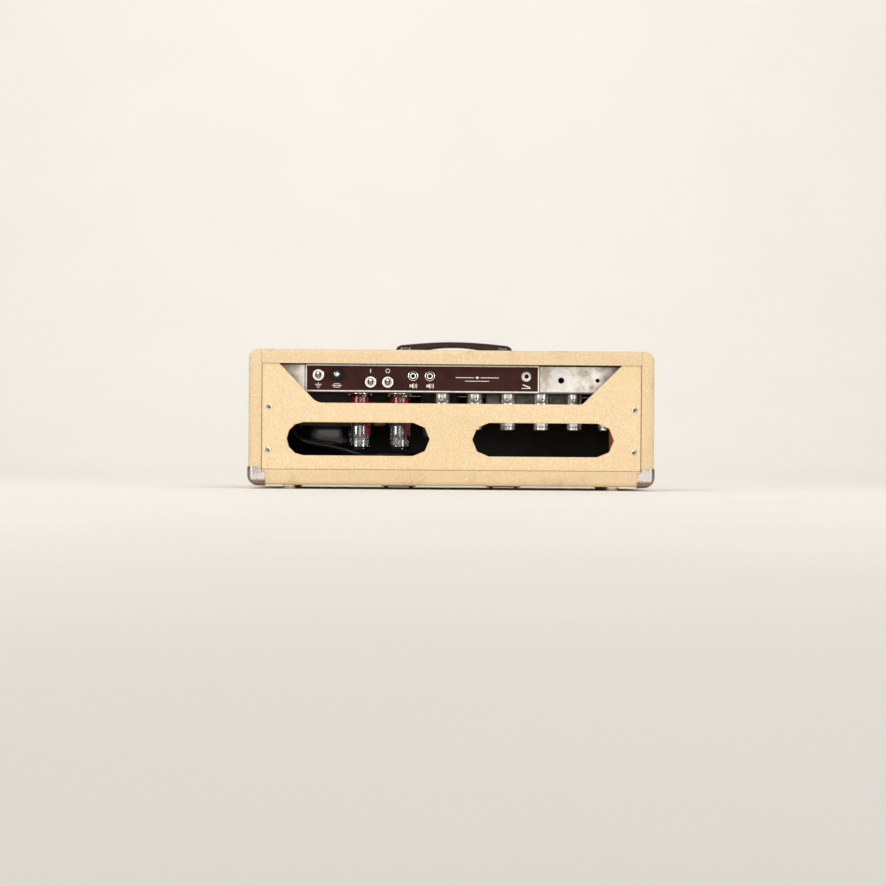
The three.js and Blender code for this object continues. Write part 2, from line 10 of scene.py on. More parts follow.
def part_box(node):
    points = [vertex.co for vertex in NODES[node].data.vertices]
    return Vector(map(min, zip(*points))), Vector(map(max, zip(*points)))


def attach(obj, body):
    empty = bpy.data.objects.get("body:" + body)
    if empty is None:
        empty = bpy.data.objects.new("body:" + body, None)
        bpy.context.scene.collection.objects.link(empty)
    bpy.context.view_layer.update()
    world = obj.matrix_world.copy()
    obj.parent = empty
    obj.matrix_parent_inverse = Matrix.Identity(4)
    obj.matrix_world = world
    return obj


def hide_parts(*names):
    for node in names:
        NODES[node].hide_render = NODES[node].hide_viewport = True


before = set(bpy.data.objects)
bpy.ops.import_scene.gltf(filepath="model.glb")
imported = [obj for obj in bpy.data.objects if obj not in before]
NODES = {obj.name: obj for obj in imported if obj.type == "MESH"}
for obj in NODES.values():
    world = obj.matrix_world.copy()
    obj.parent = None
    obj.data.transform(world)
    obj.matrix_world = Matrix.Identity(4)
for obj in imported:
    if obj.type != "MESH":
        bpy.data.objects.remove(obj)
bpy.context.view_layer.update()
MM = 0.001
CABINET = "cabinet"

# ---------------------------------------------------------------- places read from the frame

TOP_LOW, TOP_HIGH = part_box("top_board")
PANEL_LOW, PANEL_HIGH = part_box("back_panel")
CHASSIS_LOW, CHASSIS_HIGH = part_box("chassis")
HALF_WIDTH = TOP_HIGH.x
HALF_DEPTH = TOP_HIGH.y
UNDERSIDE = 6 * MM  # the boards' lowest face, above the glides' feet
INNER_X = HALF_WIDTH - 19 * MM
CEILING = TOP_LOW.z
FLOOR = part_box("bottom_board")[1].z
CORNER_RADIUS = 15 * MM
EDGE_RADIUS = 8 * MM
PLATE_LOW, PLATE_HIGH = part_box("rear_faceplate")
BARE_HOLE = (-167.1, 167.7)  # x and z in millimetres of the larger empty hole in the chassis wall
PEDAL_JACK = (-113.6, 173.2)  # the same for the vibrato pedal's jack
CLEAT_WIDTHS = (("left", 1, 19 * MM), ("right", -1, 48 * MM))
FRONT_TILT = math.radians(20)


def middle(node):
    """The centre of a CAD node's box."""
    low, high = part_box(node)
    return (low + high) / 2


# ---------------------------------------------------------------- camera


def add_camera():
    """The camera stands level with the cabinet's lower half, about three metres behind it."""
    distance = 3.0
    yaw = math.radians(1.0)
    pitch = math.radians(0.3286)
    roll = math.radians(0.42)
    aim = Vector((0, HALF_DEPTH, 0))
    level = Vector((-math.sin(yaw), -math.cos(yaw), 0))
    level_right = Vector((-math.cos(yaw), math.sin(yaw), 0))
    up = Vector((0, 0, 1))
    ahead = level * math.cos(pitch) + up * math.sin(pitch)
    over = up * math.cos(pitch) - level * math.sin(pitch)
    right = level_right * math.cos(roll) + over * math.sin(roll)
    over = over * math.cos(roll) - level_right * math.sin(roll)
    data = bpy.data.cameras.new("camera")
    data.sensor_width = 36
    data.lens = 80.52
    camera = bpy.data.objects.new("camera", data)
    place = aim - level * distance - level_right * 13.0 * MM + up * 53.8 * MM
    camera.matrix_world = Matrix(
        (
            (right.x, over.x, -ahead.x, place.x),
            (right.y, over.y, -ahead.y, place.y),
            (right.z, over.z, -ahead.z, place.z),
            (0, 0, 0, 1),
        )
    )
    bpy.context.scene.collection.objects.link(camera)
    bpy.context.scene.camera = camera


# ---------------------------------------------------------------- shaders


def srgb(red, green, blue):
    """A colour given as 0 to 255 display values, in linear light."""

    def linear(value):
        value /= 255
        return value / 12.92 if value <= 0.04045 else ((value + 0.055) / 1.055) ** 2.4

    return (linear(red), linear(green), linear(blue), 1.0)


class Shader:
    """A Principled material, and helpers that add procedural nodes in the object's own coordinates."""

    def __init__(self, name, color, roughness, metallic=0.0, **sockets):
        self.material = bpy.data.materials.new(name)
        self.material.use_nodes = True
        self.tree = self.material.node_tree
        self.bsdf = self.tree.nodes["Principled BSDF"]
        self.bsdf.inputs["Base Color"].default_value = color
        self.bsdf.inputs["Roughness"].default_value = roughness
        self.bsdf.inputs["Metallic"].default_value = metallic
        for socket, value in sockets.items():
            self.bsdf.inputs[socket.replace("_", " ")].default_value = value
        self.place = self.tree.nodes.new("ShaderNodeTexCoord").outputs["Object"]

    def link(self, value, socket):
        if hasattr(value, "is_output"):
            self.tree.links.new(value, socket)
        else:
            socket.default_value = value

    def stretched(self, scale):
        """The place, scaled differently along each axis."""
        node = self.tree.nodes.new("ShaderNodeVectorMath")
        node.operation = "MULTIPLY"
        self.link(self.place, node.inputs[0])
        node.inputs[1].default_value = scale
        return node.outputs[0]

    def noise(self, scale, detail=3.0, rough=0.55, place=None):
        node = self.tree.nodes.new("ShaderNodeTexNoise")
        node.inputs["Scale"].default_value = scale
        node.inputs["Detail"].default_value = detail
        node.inputs["Roughness"].default_value = rough
        self.link(place or self.place, node.inputs["Vector"])
        return node.outputs["Fac"]

    def cells(self, scale):
        node = self.tree.nodes.new("ShaderNodeTexVoronoi")
        node.inputs["Scale"].default_value = scale
        self.link(self.place, node.inputs["Vector"])
        return node.outputs["Distance"]

    def wave(self, scale, direction, distortion):
        node = self.tree.nodes.new("ShaderNodeTexWave")
        node.wave_type = "BANDS"
        node.bands_direction = direction
        node.inputs["Scale"].default_value = scale
        node.inputs["Distortion"].default_value = distortion
        self.link(self.place, node.inputs["Vector"])
        return node.outputs["Fac"]

    def math(self, operation, first, second=0.0):
        node = self.tree.nodes.new("ShaderNodeMath")
        node.operation = operation
        self.link(first, node.inputs[0])
        self.link(second, node.inputs[1])
        return node.outputs[0]

    def along(self, axis):
        """One coordinate of the place, in metres."""
        node = self.tree.nodes.new("ShaderNodeSeparateXYZ")
        self.link(self.place, node.inputs[0])
        return node.outputs[axis]

    def reach(self, centre):
        """The distance from a point, in metres."""
        node = self.tree.nodes.new("ShaderNodeVectorMath")
        node.operation = "DISTANCE"
        self.link(self.place, node.inputs[0])
        node.inputs[1].default_value = centre
        return node.outputs["Value"]

    def fade(self, value, start, end, low=0.0, high=1.0):
        """The value mapped from start..end to low..high, and held there outside it."""
        node = self.tree.nodes.new("ShaderNodeMapRange")
        node.interpolation_type = "SMOOTHSTEP"
        self.link(value, node.inputs["Value"])
        for socket, number in zip(("From Min", "From Max", "To Min", "To Max"), (start, end, low, high)):
            node.inputs[socket].default_value = number
        return node.outputs["Result"]

    def blend(self, factor, first, second, kind="MIX"):
        node = self.tree.nodes.new("ShaderNodeMix")
        node.data_type = "RGBA"
        node.blend_type = kind
        self.link(factor, node.inputs["Factor"])
        self.link(first, node.inputs[6])
        self.link(second, node.inputs[7])
        return node.outputs[2]

    def bump(self, height, strength, distance):
        node = self.tree.nodes.new("ShaderNodeBump")
        node.inputs["Strength"].default_value = strength
        node.inputs["Distance"].default_value = distance
        self.link(height, node.inputs["Height"])
        self.link(node.outputs["Normal"], self.bsdf.inputs["Normal"])

    def color(self, value):
        self.link(value, self.bsdf.inputs["Base Color"])

    def roughness(self, value):
        self.link(value, self.bsdf.inputs["Roughness"])

    def mottle(self, noise, span, first, second):
        """Colours the surface in soft patches of two display tones: noise(*noise), mapped by fade(*span)."""
        self.color(self.blend(self.fade(self.noise(*noise), *span), srgb(*first), srgb(*second)))

    def gloss(self, noise, span):
        """Varies the roughness in soft patches: noise(*noise), mapped by fade(*span)."""
        self.roughness(self.fade(self.noise(*noise), *span))


def tolex(name="blonde_covering", shade=1.0):
    """Blonde rough vinyl covering: irregular woven nubs, dirt in the valleys and along the worn edges."""

    def tone(red, green, blue):
        return srgb(red * shade, green * shade, blue * shade)

    s = Shader(name, tone(236, 209, 163), 0.62)
    across = s.noise(1.0, 2.5, 0.6, s.stretched((320, 1050, 1050)))
    upright = s.noise(1.0, 2.5, 0.6, s.stretched((1050, 1050, 320)))
    nubs = s.math("MAXIMUM", across, upright)
    nubs = s.math("ADD", nubs, s.math("MULTIPLY", s.noise(2000, 2.0), 0.25))
    clean = s.blend(s.fade(s.noise(7, 3.0), 0.35, 0.7), tone(248, 227, 190), tone(243, 220, 180))
    flecks = s.blend(s.fade(s.noise(300, 3.0, 0.7), 0.42, 0.66, 0.0, 0.16), clean, tone(226, 198, 152))
    woven = s.blend(s.fade(nubs, 0.82, 0.62, 0.0, 0.7), flecks, tone(214, 184, 138))
    grime = s.fade(s.noise(26, 6.0, 0.75), 0.5, 0.74)
    high = s.fade(s.along("Z"), TOP_HIGH.z - 16 * MM, TOP_HIGH.z - 1 * MM)
    low = s.fade(s.along("Z"), UNDERSIDE + 24 * MM, UNDERSIDE + 3 * MM)
    end = s.fade(s.math("ABSOLUTE", s.along("X")), HALF_WIDTH - 14 * MM, HALF_WIDTH - 1 * MM)
    edge = s.math("MAXIMUM", s.math("MAXIMUM", high, low), end)
    worn = s.math("MULTIPLY", grime, s.math("ADD", s.math("MULTIPLY", edge, 0.5), 0.05))
    dirty = s.blend(worn, woven, tone(178, 134, 80))
    stain = Vector((-98, HALF_DEPTH / MM - 12, TOP_HIGH.z / MM)) * MM
    spill = s.fade(s.reach(stain), 30 * MM, 4 * MM, 0.0, 0.42)
    s.color(s.blend(s.math("MULTIPLY", spill, s.fade(s.noise(60, 3.0), 0.3, 0.6)), dirty, srgb(206, 140, 70)))
    s.roughness(s.fade(nubs, 0.5, 0.9, 0.72, 0.5))
    s.bump(nubs, 0.7, 0.4 * MM)
    return s.material


def tolex_boards():
    """The same covering on the cabinet's boards, a little darker than the panel's."""
    return tolex("blonde_board_covering", 0.965)


def worn_nickel():
    """Darkened nickel of the handle's brackets and the panel's screws; on the screws the dark tone is painted
    shade for their recess in the cup washers.
    """
    return nickel("worn_nickel", (112, 107, 100), 0.3)


def cap_nickel():
    """Nickel corner cap, bright on its faces, with painted shade on its folded edges and side faces and a
    painted brown reflection underneath.
    """
    s = Shader("cap_nickel", srgb(238, 234, 228), 0.12, 1.0)
    # painted shade: the cap's faces on the cabinet's sides, and its folded edges, are darkened
    side = s.fade(s.math("ABSOLUTE", s.along("X")), HALF_WIDTH - 6 * MM, HALF_WIDTH - 2.5 * MM)
    # painted reflection: the cap's lowest part is tinted brown for the surface it stands on
    under = s.fade(s.along("Z"), UNDERSIDE + 10 * MM, UNDERSIDE + 6 * MM)
    pitted = s.math("MULTIPLY", s.fade(s.noise(500, 3.0), 0.5, 0.66), s.fade(s.noise(60, 2.0), 0.4, 0.6))
    face = s.blend(s.math("MULTIPLY", pitted, 0.8), srgb(240, 237, 232), srgb(128, 120, 112))
    folded = s.blend(s.math("MULTIPLY", side, 0.85), face, srgb(98, 84, 78))
    s.color(s.blend(s.math("MULTIPLY", under, 0.85), folded, srgb(132, 100, 66)))
    s.roughness(s.fade(pitted, 0.0, 1.0, 0.1, 0.4))
    return s.material


def bare_wood():
    """Unfinished board inside the cabinet, gone brown with age."""
    s = Shader("inner_wood", srgb(140, 78, 48), 0.8)
    grain = s.noise(1.0, 4.0, 0.6, s.stretched((14, 190, 190)))
    s.color(s.blend(s.fade(grain, 0.3, 0.7), srgb(86, 44, 26), srgb(140, 78, 48)))
    s.bump(grain, 0.25, 0.3 * MM)
    return s.material


def nickel(name="nickel", tone=(236, 231, 222), rough=0.14):
    """Nickel plate with fine scratches, a few dull patches and small brown specks."""
    s = Shader(name, srgb(*tone), rough, 1.0)
    patch = s.noise(70, 3.0)
    speck = s.fade(s.noise(700, 2.0), 0.72, 0.78)
    dull = s.blend(s.fade(patch, 0.52, 0.8), srgb(*tone), srgb(212, 204, 190))
    s.color(s.blend(s.math("MULTIPLY", speck, 0.35), dull, srgb(120, 96, 74)))
    s.roughness(s.fade(patch, 0.45, 0.8, rough - 0.04, rough + 0.12))
    s.bump(s.noise(1.0, 2.0, 0.5, s.stretched((120, 120, 900))), 0.03, 0.03 * MM)
    return s.material


def chassis_steel():
    """Bare plated steel with cloudy stains, rust freckles and a washer's mark round the empty hole, and
    painted shade at its ends, along its lower bend and round the rear faceplate.
    """
    s = Shader("chassis_steel", srgb(226, 220, 210), 0.42, 0.8)
    cloud = s.noise(30, 6.0, 0.7)
    base = s.blend(s.fade(cloud, 0.4, 0.68), srgb(238, 234, 226), srgb(186, 175, 162))
    away = s.reach(Vector((BARE_HOLE[0], CHASSIS_HIGH.y / MM, BARE_HOLE[1])) * MM)
    worn = s.math("MULTIPLY", s.fade(away, 20.5 * MM, 18.5 * MM), s.fade(s.noise(60, 3.0), 0.3, 0.6))
    marked = s.blend(s.math("MULTIPLY", worn, 0.6), base, srgb(240, 240, 238))
    rust = s.math("MULTIPLY", s.fade(s.noise(110, 6.0, 0.75), 0.55, 0.7), s.fade(s.noise(14, 2.0), 0.42, 0.6))
    rusty = s.blend(s.math("MULTIPLY", rust, 0.6), marked, srgb(128, 96, 70))
    # painted shade: the lowest few millimetres of the wall, along its bend, are darkened nearly to black
    bend = s.fade(s.along("Z"), CHASSIS_LOW.z + 3.0 * MM, CHASSIS_LOW.z + 1.4 * MM, 0.0, 0.85)
    # painted shadow: the wall's rear face across the faceplate's width is darkened, which shows as a dark
    # line round the plate
    from_plate = s.math("ABSOLUTE", s.math("SUBTRACT", s.along("X"), 44.6 * MM))
    beside_plate = s.fade(from_plate, 180.2 * MM, 178.8 * MM)
    gap = s.math("MULTIPLY", beside_plate, s.fade(s.along("Y"), 92.5 * MM, 93.5 * MM))
    # painted shade: the wall darkens towards both of its ends
    from_middle = s.math("ABSOLUTE", s.math("SUBTRACT", s.along("X"), 3 * MM))
    ends = s.fade(from_middle, 222 * MM, 262 * MM, 0.0, 0.75)
    shaded = s.blend(ends, rusty, srgb(112, 98, 88))
    s.color(s.blend(s.math("MAXIMUM", bend, s.math("MULTIPLY", gap, 0.85)), shaded, srgb(46, 38, 34)))
    s.roughness(s.fade(cloud, 0.3, 0.75, 0.32, 0.55))
    s.bump(s.noise(1.0, 2.0, 0.5, s.stretched((60, 1500, 1500))), 0.1, 0.05 * MM)
    return s.material


def enamel():
    """Dark brown enamelled plate with a faint orange-peel surface."""
    s = Shader("brown_enamel", srgb(60, 32, 28), 0.38, Specular_IOR_Level=0.1)
    s.mottle((30, 4.0), (0.4, 0.7), (62, 33, 29), (50, 27, 24))
    s.gloss((300, 3.0), (0.3, 0.7, 0.34, 0.48))
    s.bump(s.noise(900, 2.0), 0.08, 0.05 * MM)
    return s.material


def plate_print():
    """Bright plate left clear of enamel: the border and the marks."""
    s = Shader("plate_print", srgb(240, 236, 228), 0.4)
    s.mottle((160, 4.0), (0.45, 0.75), (242, 238, 231), (214, 206, 192))
    return s.material


def aluminium():
    """Drawn aluminium with fine vertical draw lines in its gloss."""
    s = Shader("drawn_aluminium", srgb(236, 234, 230), 0.26, 1.0)
    lines = s.noise(1.0, 3.0, 0.6, s.stretched((900, 900, 30)))
    s.mottle((60, 4.0), (0.4, 0.7), (238, 236, 232), (212, 208, 202))
    s.roughness(s.fade(lines, 0.3, 0.7, 0.24, 0.32))
    return s.material


def black_gloss():
    """Black moulded plastic of the plug, the fuse holder and the switches."""
    s = Shader("black_phenolic", srgb(20, 18, 17), 0.28, Specular_IOR_Level=0.3)
    s.gloss((220, 4.0), (0.3, 0.7, 0.2, 0.42))
    s.bump(s.noise(700, 3.0), 0.1, 0.06 * MM)
    return s.material


def handle_plastic():
    """Dark brown moulded grip with a fine leather-like grain and dust in it."""
    s = Shader("handle_moulding", srgb(60, 36, 32), 0.42, Specular_IOR_Level=0.3)
    grain = s.cells(760)
    dust = s.fade(s.noise(140, 4.0), 0.5, 0.75, 0.0, 0.25)
    s.color(s.blend(dust, srgb(44, 26, 24), srgb(80, 60, 54)))
    s.roughness(s.fade(grain, 0.1, 0.6, 0.5, 0.34))
    s.bump(grain, 0.35, 0.16 * MM)
    return s.material


def cream_plastic():
    """Cream moulded plastic of the knobs."""
    s = Shader("cream_plastic", srgb(232, 217, 184), 0.3, Coat_Weight=0.3)
    s.mottle((90, 4.0), (0.4, 0.75), (236, 222, 190), (218, 198, 158))
    s.gloss((400, 3.0), (0.3, 0.7, 0.24, 0.4))
    s.bump(s.noise(1200, 2.0), 0.06, 0.05 * MM)
    return s.material


def cord_rubber():
    """Black rubber sheath, dusty and faintly ribbed by the cores inside it."""
    s = Shader("cord_rubber", srgb(16, 15, 15), 0.32, Specular_IOR_Level=0.35)
    s.mottle((240, 5.0), (0.55, 0.78, 0.0, 0.4), (14, 14, 13), (48, 45, 42))
    s.gloss((160, 4.0), (0.3, 0.7, 0.24, 0.42))
    s.bump(s.noise(520, 4.0), 0.2, 0.12 * MM)
    return s.material


def black_paint():
    """Thick black paint on transformer covers, dulled by heat and dust."""
    s = Shader("transformer_black", srgb(18, 17, 17), 0.24)
    s.mottle((70, 5.0), (0.5, 0.78, 0.0, 0.35), (16, 15, 15), (48, 44, 40))
    s.gloss((60, 3.0), (0.3, 0.7, 0.11, 0.18))
    s.bump(s.noise(420, 4.0), 0.18, 0.1 * MM)
    return s.material


def laminations():
    """Edges of the transformer's stacked steel, striped and lightly rusted."""
    s = Shader("lamination_edges", srgb(50, 45, 41), 0.5, 0.3)
    s.mottle((110, 5.0), (0.42, 0.7), (54, 48, 44), (70, 42, 28))
    s.bump(s.noise(1.0, 2.0, 0.5, s.stretched((80, 80, 2400))), 0.5, 0.2 * MM)
    return s.material


def grey_metal():
    """Pale grey painted metal of the output transformer's cover and the capacitors' pan."""
    s = Shader("grey_metal", srgb(206, 204, 200), 0.42, 0.15)
    s.mottle((55, 5.0), (0.4, 0.7), (206, 204, 200), (148, 146, 144))
    s.gloss((90, 4.0), (0.3, 0.7, 0.34, 0.58))
    s.bump(s.noise(340, 4.0), 0.12, 0.08 * MM)
    return s.material


def clear_glass():
    """Clear glass of the power valves' bulbs."""
    s = Shader("valve_glass", (0.93, 0.95, 0.95, 1), 0.03, Transmission_Weight=1.0, IOR=1.9)
    s.gloss((40, 2.0), (0.4, 0.8, 0.02, 0.06))
    return s.material


def getter_silver():
    """Getter metal and the bare small valves' silvered glass, browned in places."""
    s = Shader("getter_silver", srgb(150, 148, 146), 0.1, 1.0)
    s.mottle((70, 2.0), (0.45, 0.75), (154, 152, 150), (88, 78, 72))
    return s.material


def anode_grey():
    """Matt grey metal of the power valves' anodes."""
    s = Shader("anode_grey", srgb(122, 116, 118), 0.55, 0.2)
    s.mottle((200, 4.0), (0.4, 0.7), (126, 120, 122), (92, 88, 88))
    s.bump(s.noise(900, 2.0), 0.1, 0.05 * MM)
    return s.material


def red_phenolic():
    """The power valves' dark red bases."""
    s = Shader("red_phenolic", srgb(150, 24, 18), 0.14, Coat_Weight=0.6, Coat_Roughness=0.06)
    s.mottle((150, 4.0), (0.4, 0.7), (158, 26, 20), (112, 18, 15))
    s.gloss((260, 3.0), (0.3, 0.7, 0.1, 0.2))
    return s.material


def faded_print():
    """Red ink of the pattern on the power valves."""
    s = Shader("valve_print", srgb(214, 40, 32), 0.6)
    s.mottle((600, 3.0), (0.4, 0.65), (214, 40, 32), (150, 44, 38))
    return s.material


def red_jewel():
    """The pilot lamp's cut red glass."""
    s = Shader("red_jewel", (0.5, 0.01, 0.008, 1), 0.05, Transmission_Weight=0.6, IOR=1.5)
    s.gloss((400, 2.0), (0.4, 0.7, 0.03, 0.12))
    return s.material


def oxblood_cloth():
    """Dark red grille cloth woven with a thin gold thread."""
    s = Shader("oxblood_cloth", srgb(84, 34, 32), 0.85, Sheen_Weight=0.2)
    warp = s.wave(150, "X", 1.2)
    weft = s.wave(150, "Z", 1.2)
    weave = s.math("MULTIPLY", warp, weft)
    gold = s.fade(s.wave(26, "Z", 0.6), 0.93, 0.98, 0.0, 0.75)
    red = s.blend(s.fade(weave, 0.1, 0.7), srgb(48, 18, 18), srgb(104, 40, 36))
    s.color(s.blend(gold, red, srgb(176, 142, 84)))
    s.bump(weave, 0.6, 0.3 * MM)
    return s.material


def paper_tan():
    """Tan paper and mica: the choke's wrap and the valves' discs."""
    s = Shader("choke_paper", srgb(204, 168, 104), 0.6)
    s.mottle((90, 4.0), (0.4, 0.7), (210, 174, 108), (160, 126, 72))
    s.bump(s.noise(300, 3.0), 0.1, 0.1 * MM)
    return s.material


def painted_board():
    """Black painted board and felt: the baffle, its top strip, and the dark strips of painted shade on the
    chassis wall.
    """
    s = Shader("black_board", srgb(24, 22, 21), 0.7)
    s.mottle((40, 4.0), (0.4, 0.7), (26, 24, 23), (40, 36, 33))
    s.bump(s.noise(1.0, 3.0, 0.6, s.stretched((20, 260, 260))), 0.2, 0.2 * MM)
    return s.material


def studio_floor():
    """Plain pale studio floor."""
    s = Shader("studio_floor", srgb(241, 237, 232), 0.75)
    s.mottle((3.0, 2.0), (0.3, 0.7), (241, 237, 232), (239, 235, 229))
    return s.material


def make_finishes():
    """Every material, under its maker's name."""
    makers = (tolex, tolex_boards, bare_wood, nickel, worn_nickel, cap_nickel, chassis_steel, enamel,
              plate_print, aluminium, black_gloss, handle_plastic, cream_plastic, cord_rubber, black_paint,
              laminations, grey_metal, clear_glass, getter_silver, anode_grey, red_phenolic, faded_print,
              red_jewel, oxblood_cloth, paper_tan, painted_board, studio_floor)
    return {maker.__name__: maker() for maker in makers}


FINISH = make_finishes()

# ---------------------------------------------------------------- mesh helpers


def finish_piece(obj, finish, body=CABINET, slot=None, smooth=30):
    """Gives a new piece its material, its smooth shading and the body that it rides on."""
    if finish:
        obj.data.materials.clear()
        obj.data.materials.append(FINISH[finish])
    if smooth and obj.type == "MESH":
        obj.data.shade_smooth()
        obj.data.set_sharp_from_angle(angle=math.radians(smooth))
    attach(obj, body)
    return obj


def from_bmesh(name, mesh_data):
    mesh = bpy.data.meshes.new(name)
    mesh_data.to_mesh(mesh)
    mesh_data.free()
    obj = bpy.data.objects.new(name, mesh)
    bpy.context.scene.collection.objects.link(obj)
    return obj


def from_faces(name, vertices, faces):
    mesh = bpy.data.meshes.new(name)
    mesh.from_pydata([tuple(v) for v in vertices], [], faces)
    mesh.validate()
    obj = bpy.data.objects.new(name, mesh)
    bpy.context.scene.collection.objects.link(obj)
    return obj


def recalc(obj):
    """Turns every face of a mesh outwards."""
    work = bmesh.new()
    work.from_mesh(obj.data)
    bmesh.ops.recalc_face_normals(work, faces=work.faces)
    work.to_mesh(obj.data)
    work.free()


def lofted(name, vertices, ring):
    """A closed solid through rings of that many points each, with a flat face at either end."""
    last = len(vertices) - ring
    faces = []
    for start in range(0, last, ring):
        for k in range(ring):
            j = (k + 1) % ring
            faces.append((start + k, start + j, start + ring + j, start + ring + k))
    faces.append(tuple(range(ring - 1, -1, -1)))
    faces.append(tuple(last + k for k in range(ring)))
    return from_faces(name, vertices, faces)


def bridge(work, rings):
    """Faces between each closed ring of vertices and the next."""
    for first, second in zip(rings, rings[1:]):
        for k in range(len(first)):
            j = (k + 1) % len(first)
            work.faces.new((first[k], first[j], second[j], second[k]))


def lay_along(work, axis):
    """Lays a mesh that was made about Z along another of the frame's axes."""
    turns = {"x": Matrix.Rotation(math.pi / 2, 3, "Y"), "y": Matrix.Rotation(-math.pi / 2, 3, "X")}
    if axis in turns:
        bmesh.ops.rotate(work, verts=work.verts, matrix=turns[axis])


def cube_mesh(low, high):
    """A box's mesh about its own middle, and where that middle goes."""
    work = bmesh.new()
    bmesh.ops.create_cube(work, size=1)
    low, high = Vector(low), Vector(high)
    bmesh.ops.scale(work, verts=work.verts, vec=high - low)
    return work, (low + high) / 2


def turned_mesh(profile, segments=48):
    """A closed surface of revolution about Z, from (radius, height) pairs, low end first."""
    work = bmesh.new()
    rings = []
    for radius, height in profile:
        if radius < 1e-7:
            rings.append([work.verts.new((0, 0, height))])
            continue
        angles = [2 * math.pi * i / segments for i in range(segments)]
        rings.append([work.verts.new((radius * math.cos(a), radius * math.sin(a), height)) for a in angles])
    for low, high in zip(rings, rings[1:]):
        for i in range(segments):
            j = (i + 1) % segments
            if len(low) == 1 and len(high) == 1:
                continue
            if len(low) == 1:
                work.faces.new((low[0], high[j], high[i]))
            elif len(high) == 1:
                work.faces.new((low[i], low[j], high[0]))
            else:
                work.faces.new((low[i], low[j], high[j], high[i]))
    bmesh.ops.remove_doubles(work, verts=work.verts, dist=1e-7)
    bmesh.ops.recalc_face_normals(work, faces=work.faces)
    return work


def turned_mm(profile, segments):
    """The same, from a profile in millimetres."""
    return turned_mesh([(r * MM, h * MM) for r, h in profile], segments)


def turned(name, profile, centre, finish, axis="z", segments=48, tilt=None, **options):
    """A turned piece in millimetres, its own axis laid along one of the frame's axes."""
    work = turned_mm(profile, segments)
    lay_along(work, axis)
    if tilt is not None:
        bmesh.ops.transform(work, verts=work.verts, matrix=tilt)
    bmesh.ops.translate(work, verts=work.verts, vec=Vector(centre))
    return finish_piece(from_bmesh(name, work), finish, **options)


def arc(centre_r, centre_h, radius, start, end, steps=6):
    """Profile points round part of a circle, angles in degrees."""
    angles = [math.radians(start + (end - start) * i / steps) for i in range(steps + 1)]
    return [(centre_r + radius * math.cos(a), centre_h + radius * math.sin(a)) for a in angles]


def bevelled_box(name, low, high, finish, bevel=0.5 * MM, steps=3, rotate=None, **options):
    work, centre = cube_mesh(low, high)
    if bevel:
        bmesh.ops.bevel(work, geom=work.edges[:], offset=bevel, segments=steps, affect="EDGES", profile=0.5)
    if rotate is not None:
        bmesh.ops.transform(work, verts=work.verts, matrix=rotate)
    bmesh.ops.translate(work, verts=work.verts, vec=centre)
    return finish_piece(from_bmesh(name, work), finish, **options)


def rounded_path(corners, steps=10):
    """Points along a closed outline of (u, v, radius) corners, each one rounded with a true arc."""
    path = []
    count = len(corners)
    for i, (u, v, radius) in enumerate(corners):
        here = Vector((u, v))
        if radius <= 0:
            path.append(here)
            continue
        before = (Vector(corners[i - 1][:2]) - here).normalized()
        after = (Vector(corners[(i + 1) % count][:2]) - here).normalized()
        half = before.angle(after) / 2
        reach = radius / math.tan(half)
        centre = here + (before + after).normalized() * (radius / math.sin(half))
        start = here + before * reach - centre
        end = here + after * reach - centre
        sweep = start.angle_signed(end)
        path += [centre + Matrix.Rotation(-sweep * k / steps, 2) @ start for k in range(steps + 1)]
    return path


def plate(name, outlines, y_front, y_rear, bevel=0.0, bevel_steps=2):
    """A plate with holes: closed outlines drawn in X and Z in millimetres, with its rims rounded off."""
    curve = bpy.data.curves.new(name, "CURVE")
    curve.dimensions = "2D"
    curve.fill_mode = "BOTH"
    curve.extrude = (y_rear - y_front) / 2 - bevel
    curve.bevel_depth = bevel
    curve.bevel_resolution = bevel_steps
    curve.offset = -bevel
    for outline in outlines:
        spline = curve.splines.new("POLY")
        spline.points.add(len(outline) - 1)
        for point, (u, v) in zip(spline.points, outline):
            point.co = (u * MM, v * MM, 0, 1)
        spline.use_cyclic_u = True
    source = bpy.data.objects.new(name, curve)
    bpy.context.scene.collection.objects.link(source)
    bpy.context.view_layer.update()
    mesh = bpy.data.meshes.new_from_object(source.evaluated_get(bpy.context.evaluated_depsgraph_get()))
    bpy.data.objects.remove(source)
    obj = bpy.data.objects.new(name, mesh)
    bpy.context.scene.collection.objects.link(obj)
    stand = Matrix.Rotation(math.pi / 2, 4, "X")
    mesh.transform(Matrix.Translation((0, (y_front + y_rear) / 2, 0)) @ stand)
    work = bmesh.new()
    work.from_mesh(mesh)
    bmesh.ops.remove_doubles(work, verts=work.verts, dist=1e-6)
    bmesh.ops.recalc_face_normals(work, faces=work.faces)
    work.to_mesh(mesh)
    work.free()
    return obj


def wire(name, points, radius, finish, sides=10, **options):
    """A round wire through the points, in metres, closed at both ends."""
    points = [Vector(p) for p in points]
    work = bmesh.new()
    rings = []
    side = Vector((0, 0, 1))
    for i, point in enumerate(points):
        ahead = (points[min(i + 1, len(points) - 1)] - points[max(i - 1, 0)]).normalized()
        across = ahead.cross(side)
        if across.length < 0.05:
            across = ahead.cross(Vector((1, 0, 0)))
        across.normalize()
        side = across.cross(ahead).normalized()
        angles = [2 * math.pi * k / sides for k in range(sides)]
        spokes = [across * math.cos(a) + side * math.sin(a) for a in angles]
        rings.append([work.verts.new(point + spoke * radius) for spoke in spokes])
    bridge(work, rings)
    work.faces.new(rings[0][::-1])
    work.faces.new(rings[-1])
    bmesh.ops.recalc_face_normals(work, faces=work.faces)
    return finish_piece(from_bmesh(name, work), finish, **options)


def joined(name, pieces):
    """Several pieces of one finish and body made into one object."""
    first = pieces[0]
    work = bmesh.new()
    for piece in pieces:
        work.from_mesh(piece.data)
    work.to_mesh(first.data)
    work.free()
    for piece in pieces[1:]:
        bpy.data.objects.remove(piece)
    first.name = name
    first.data.name = name
    return first


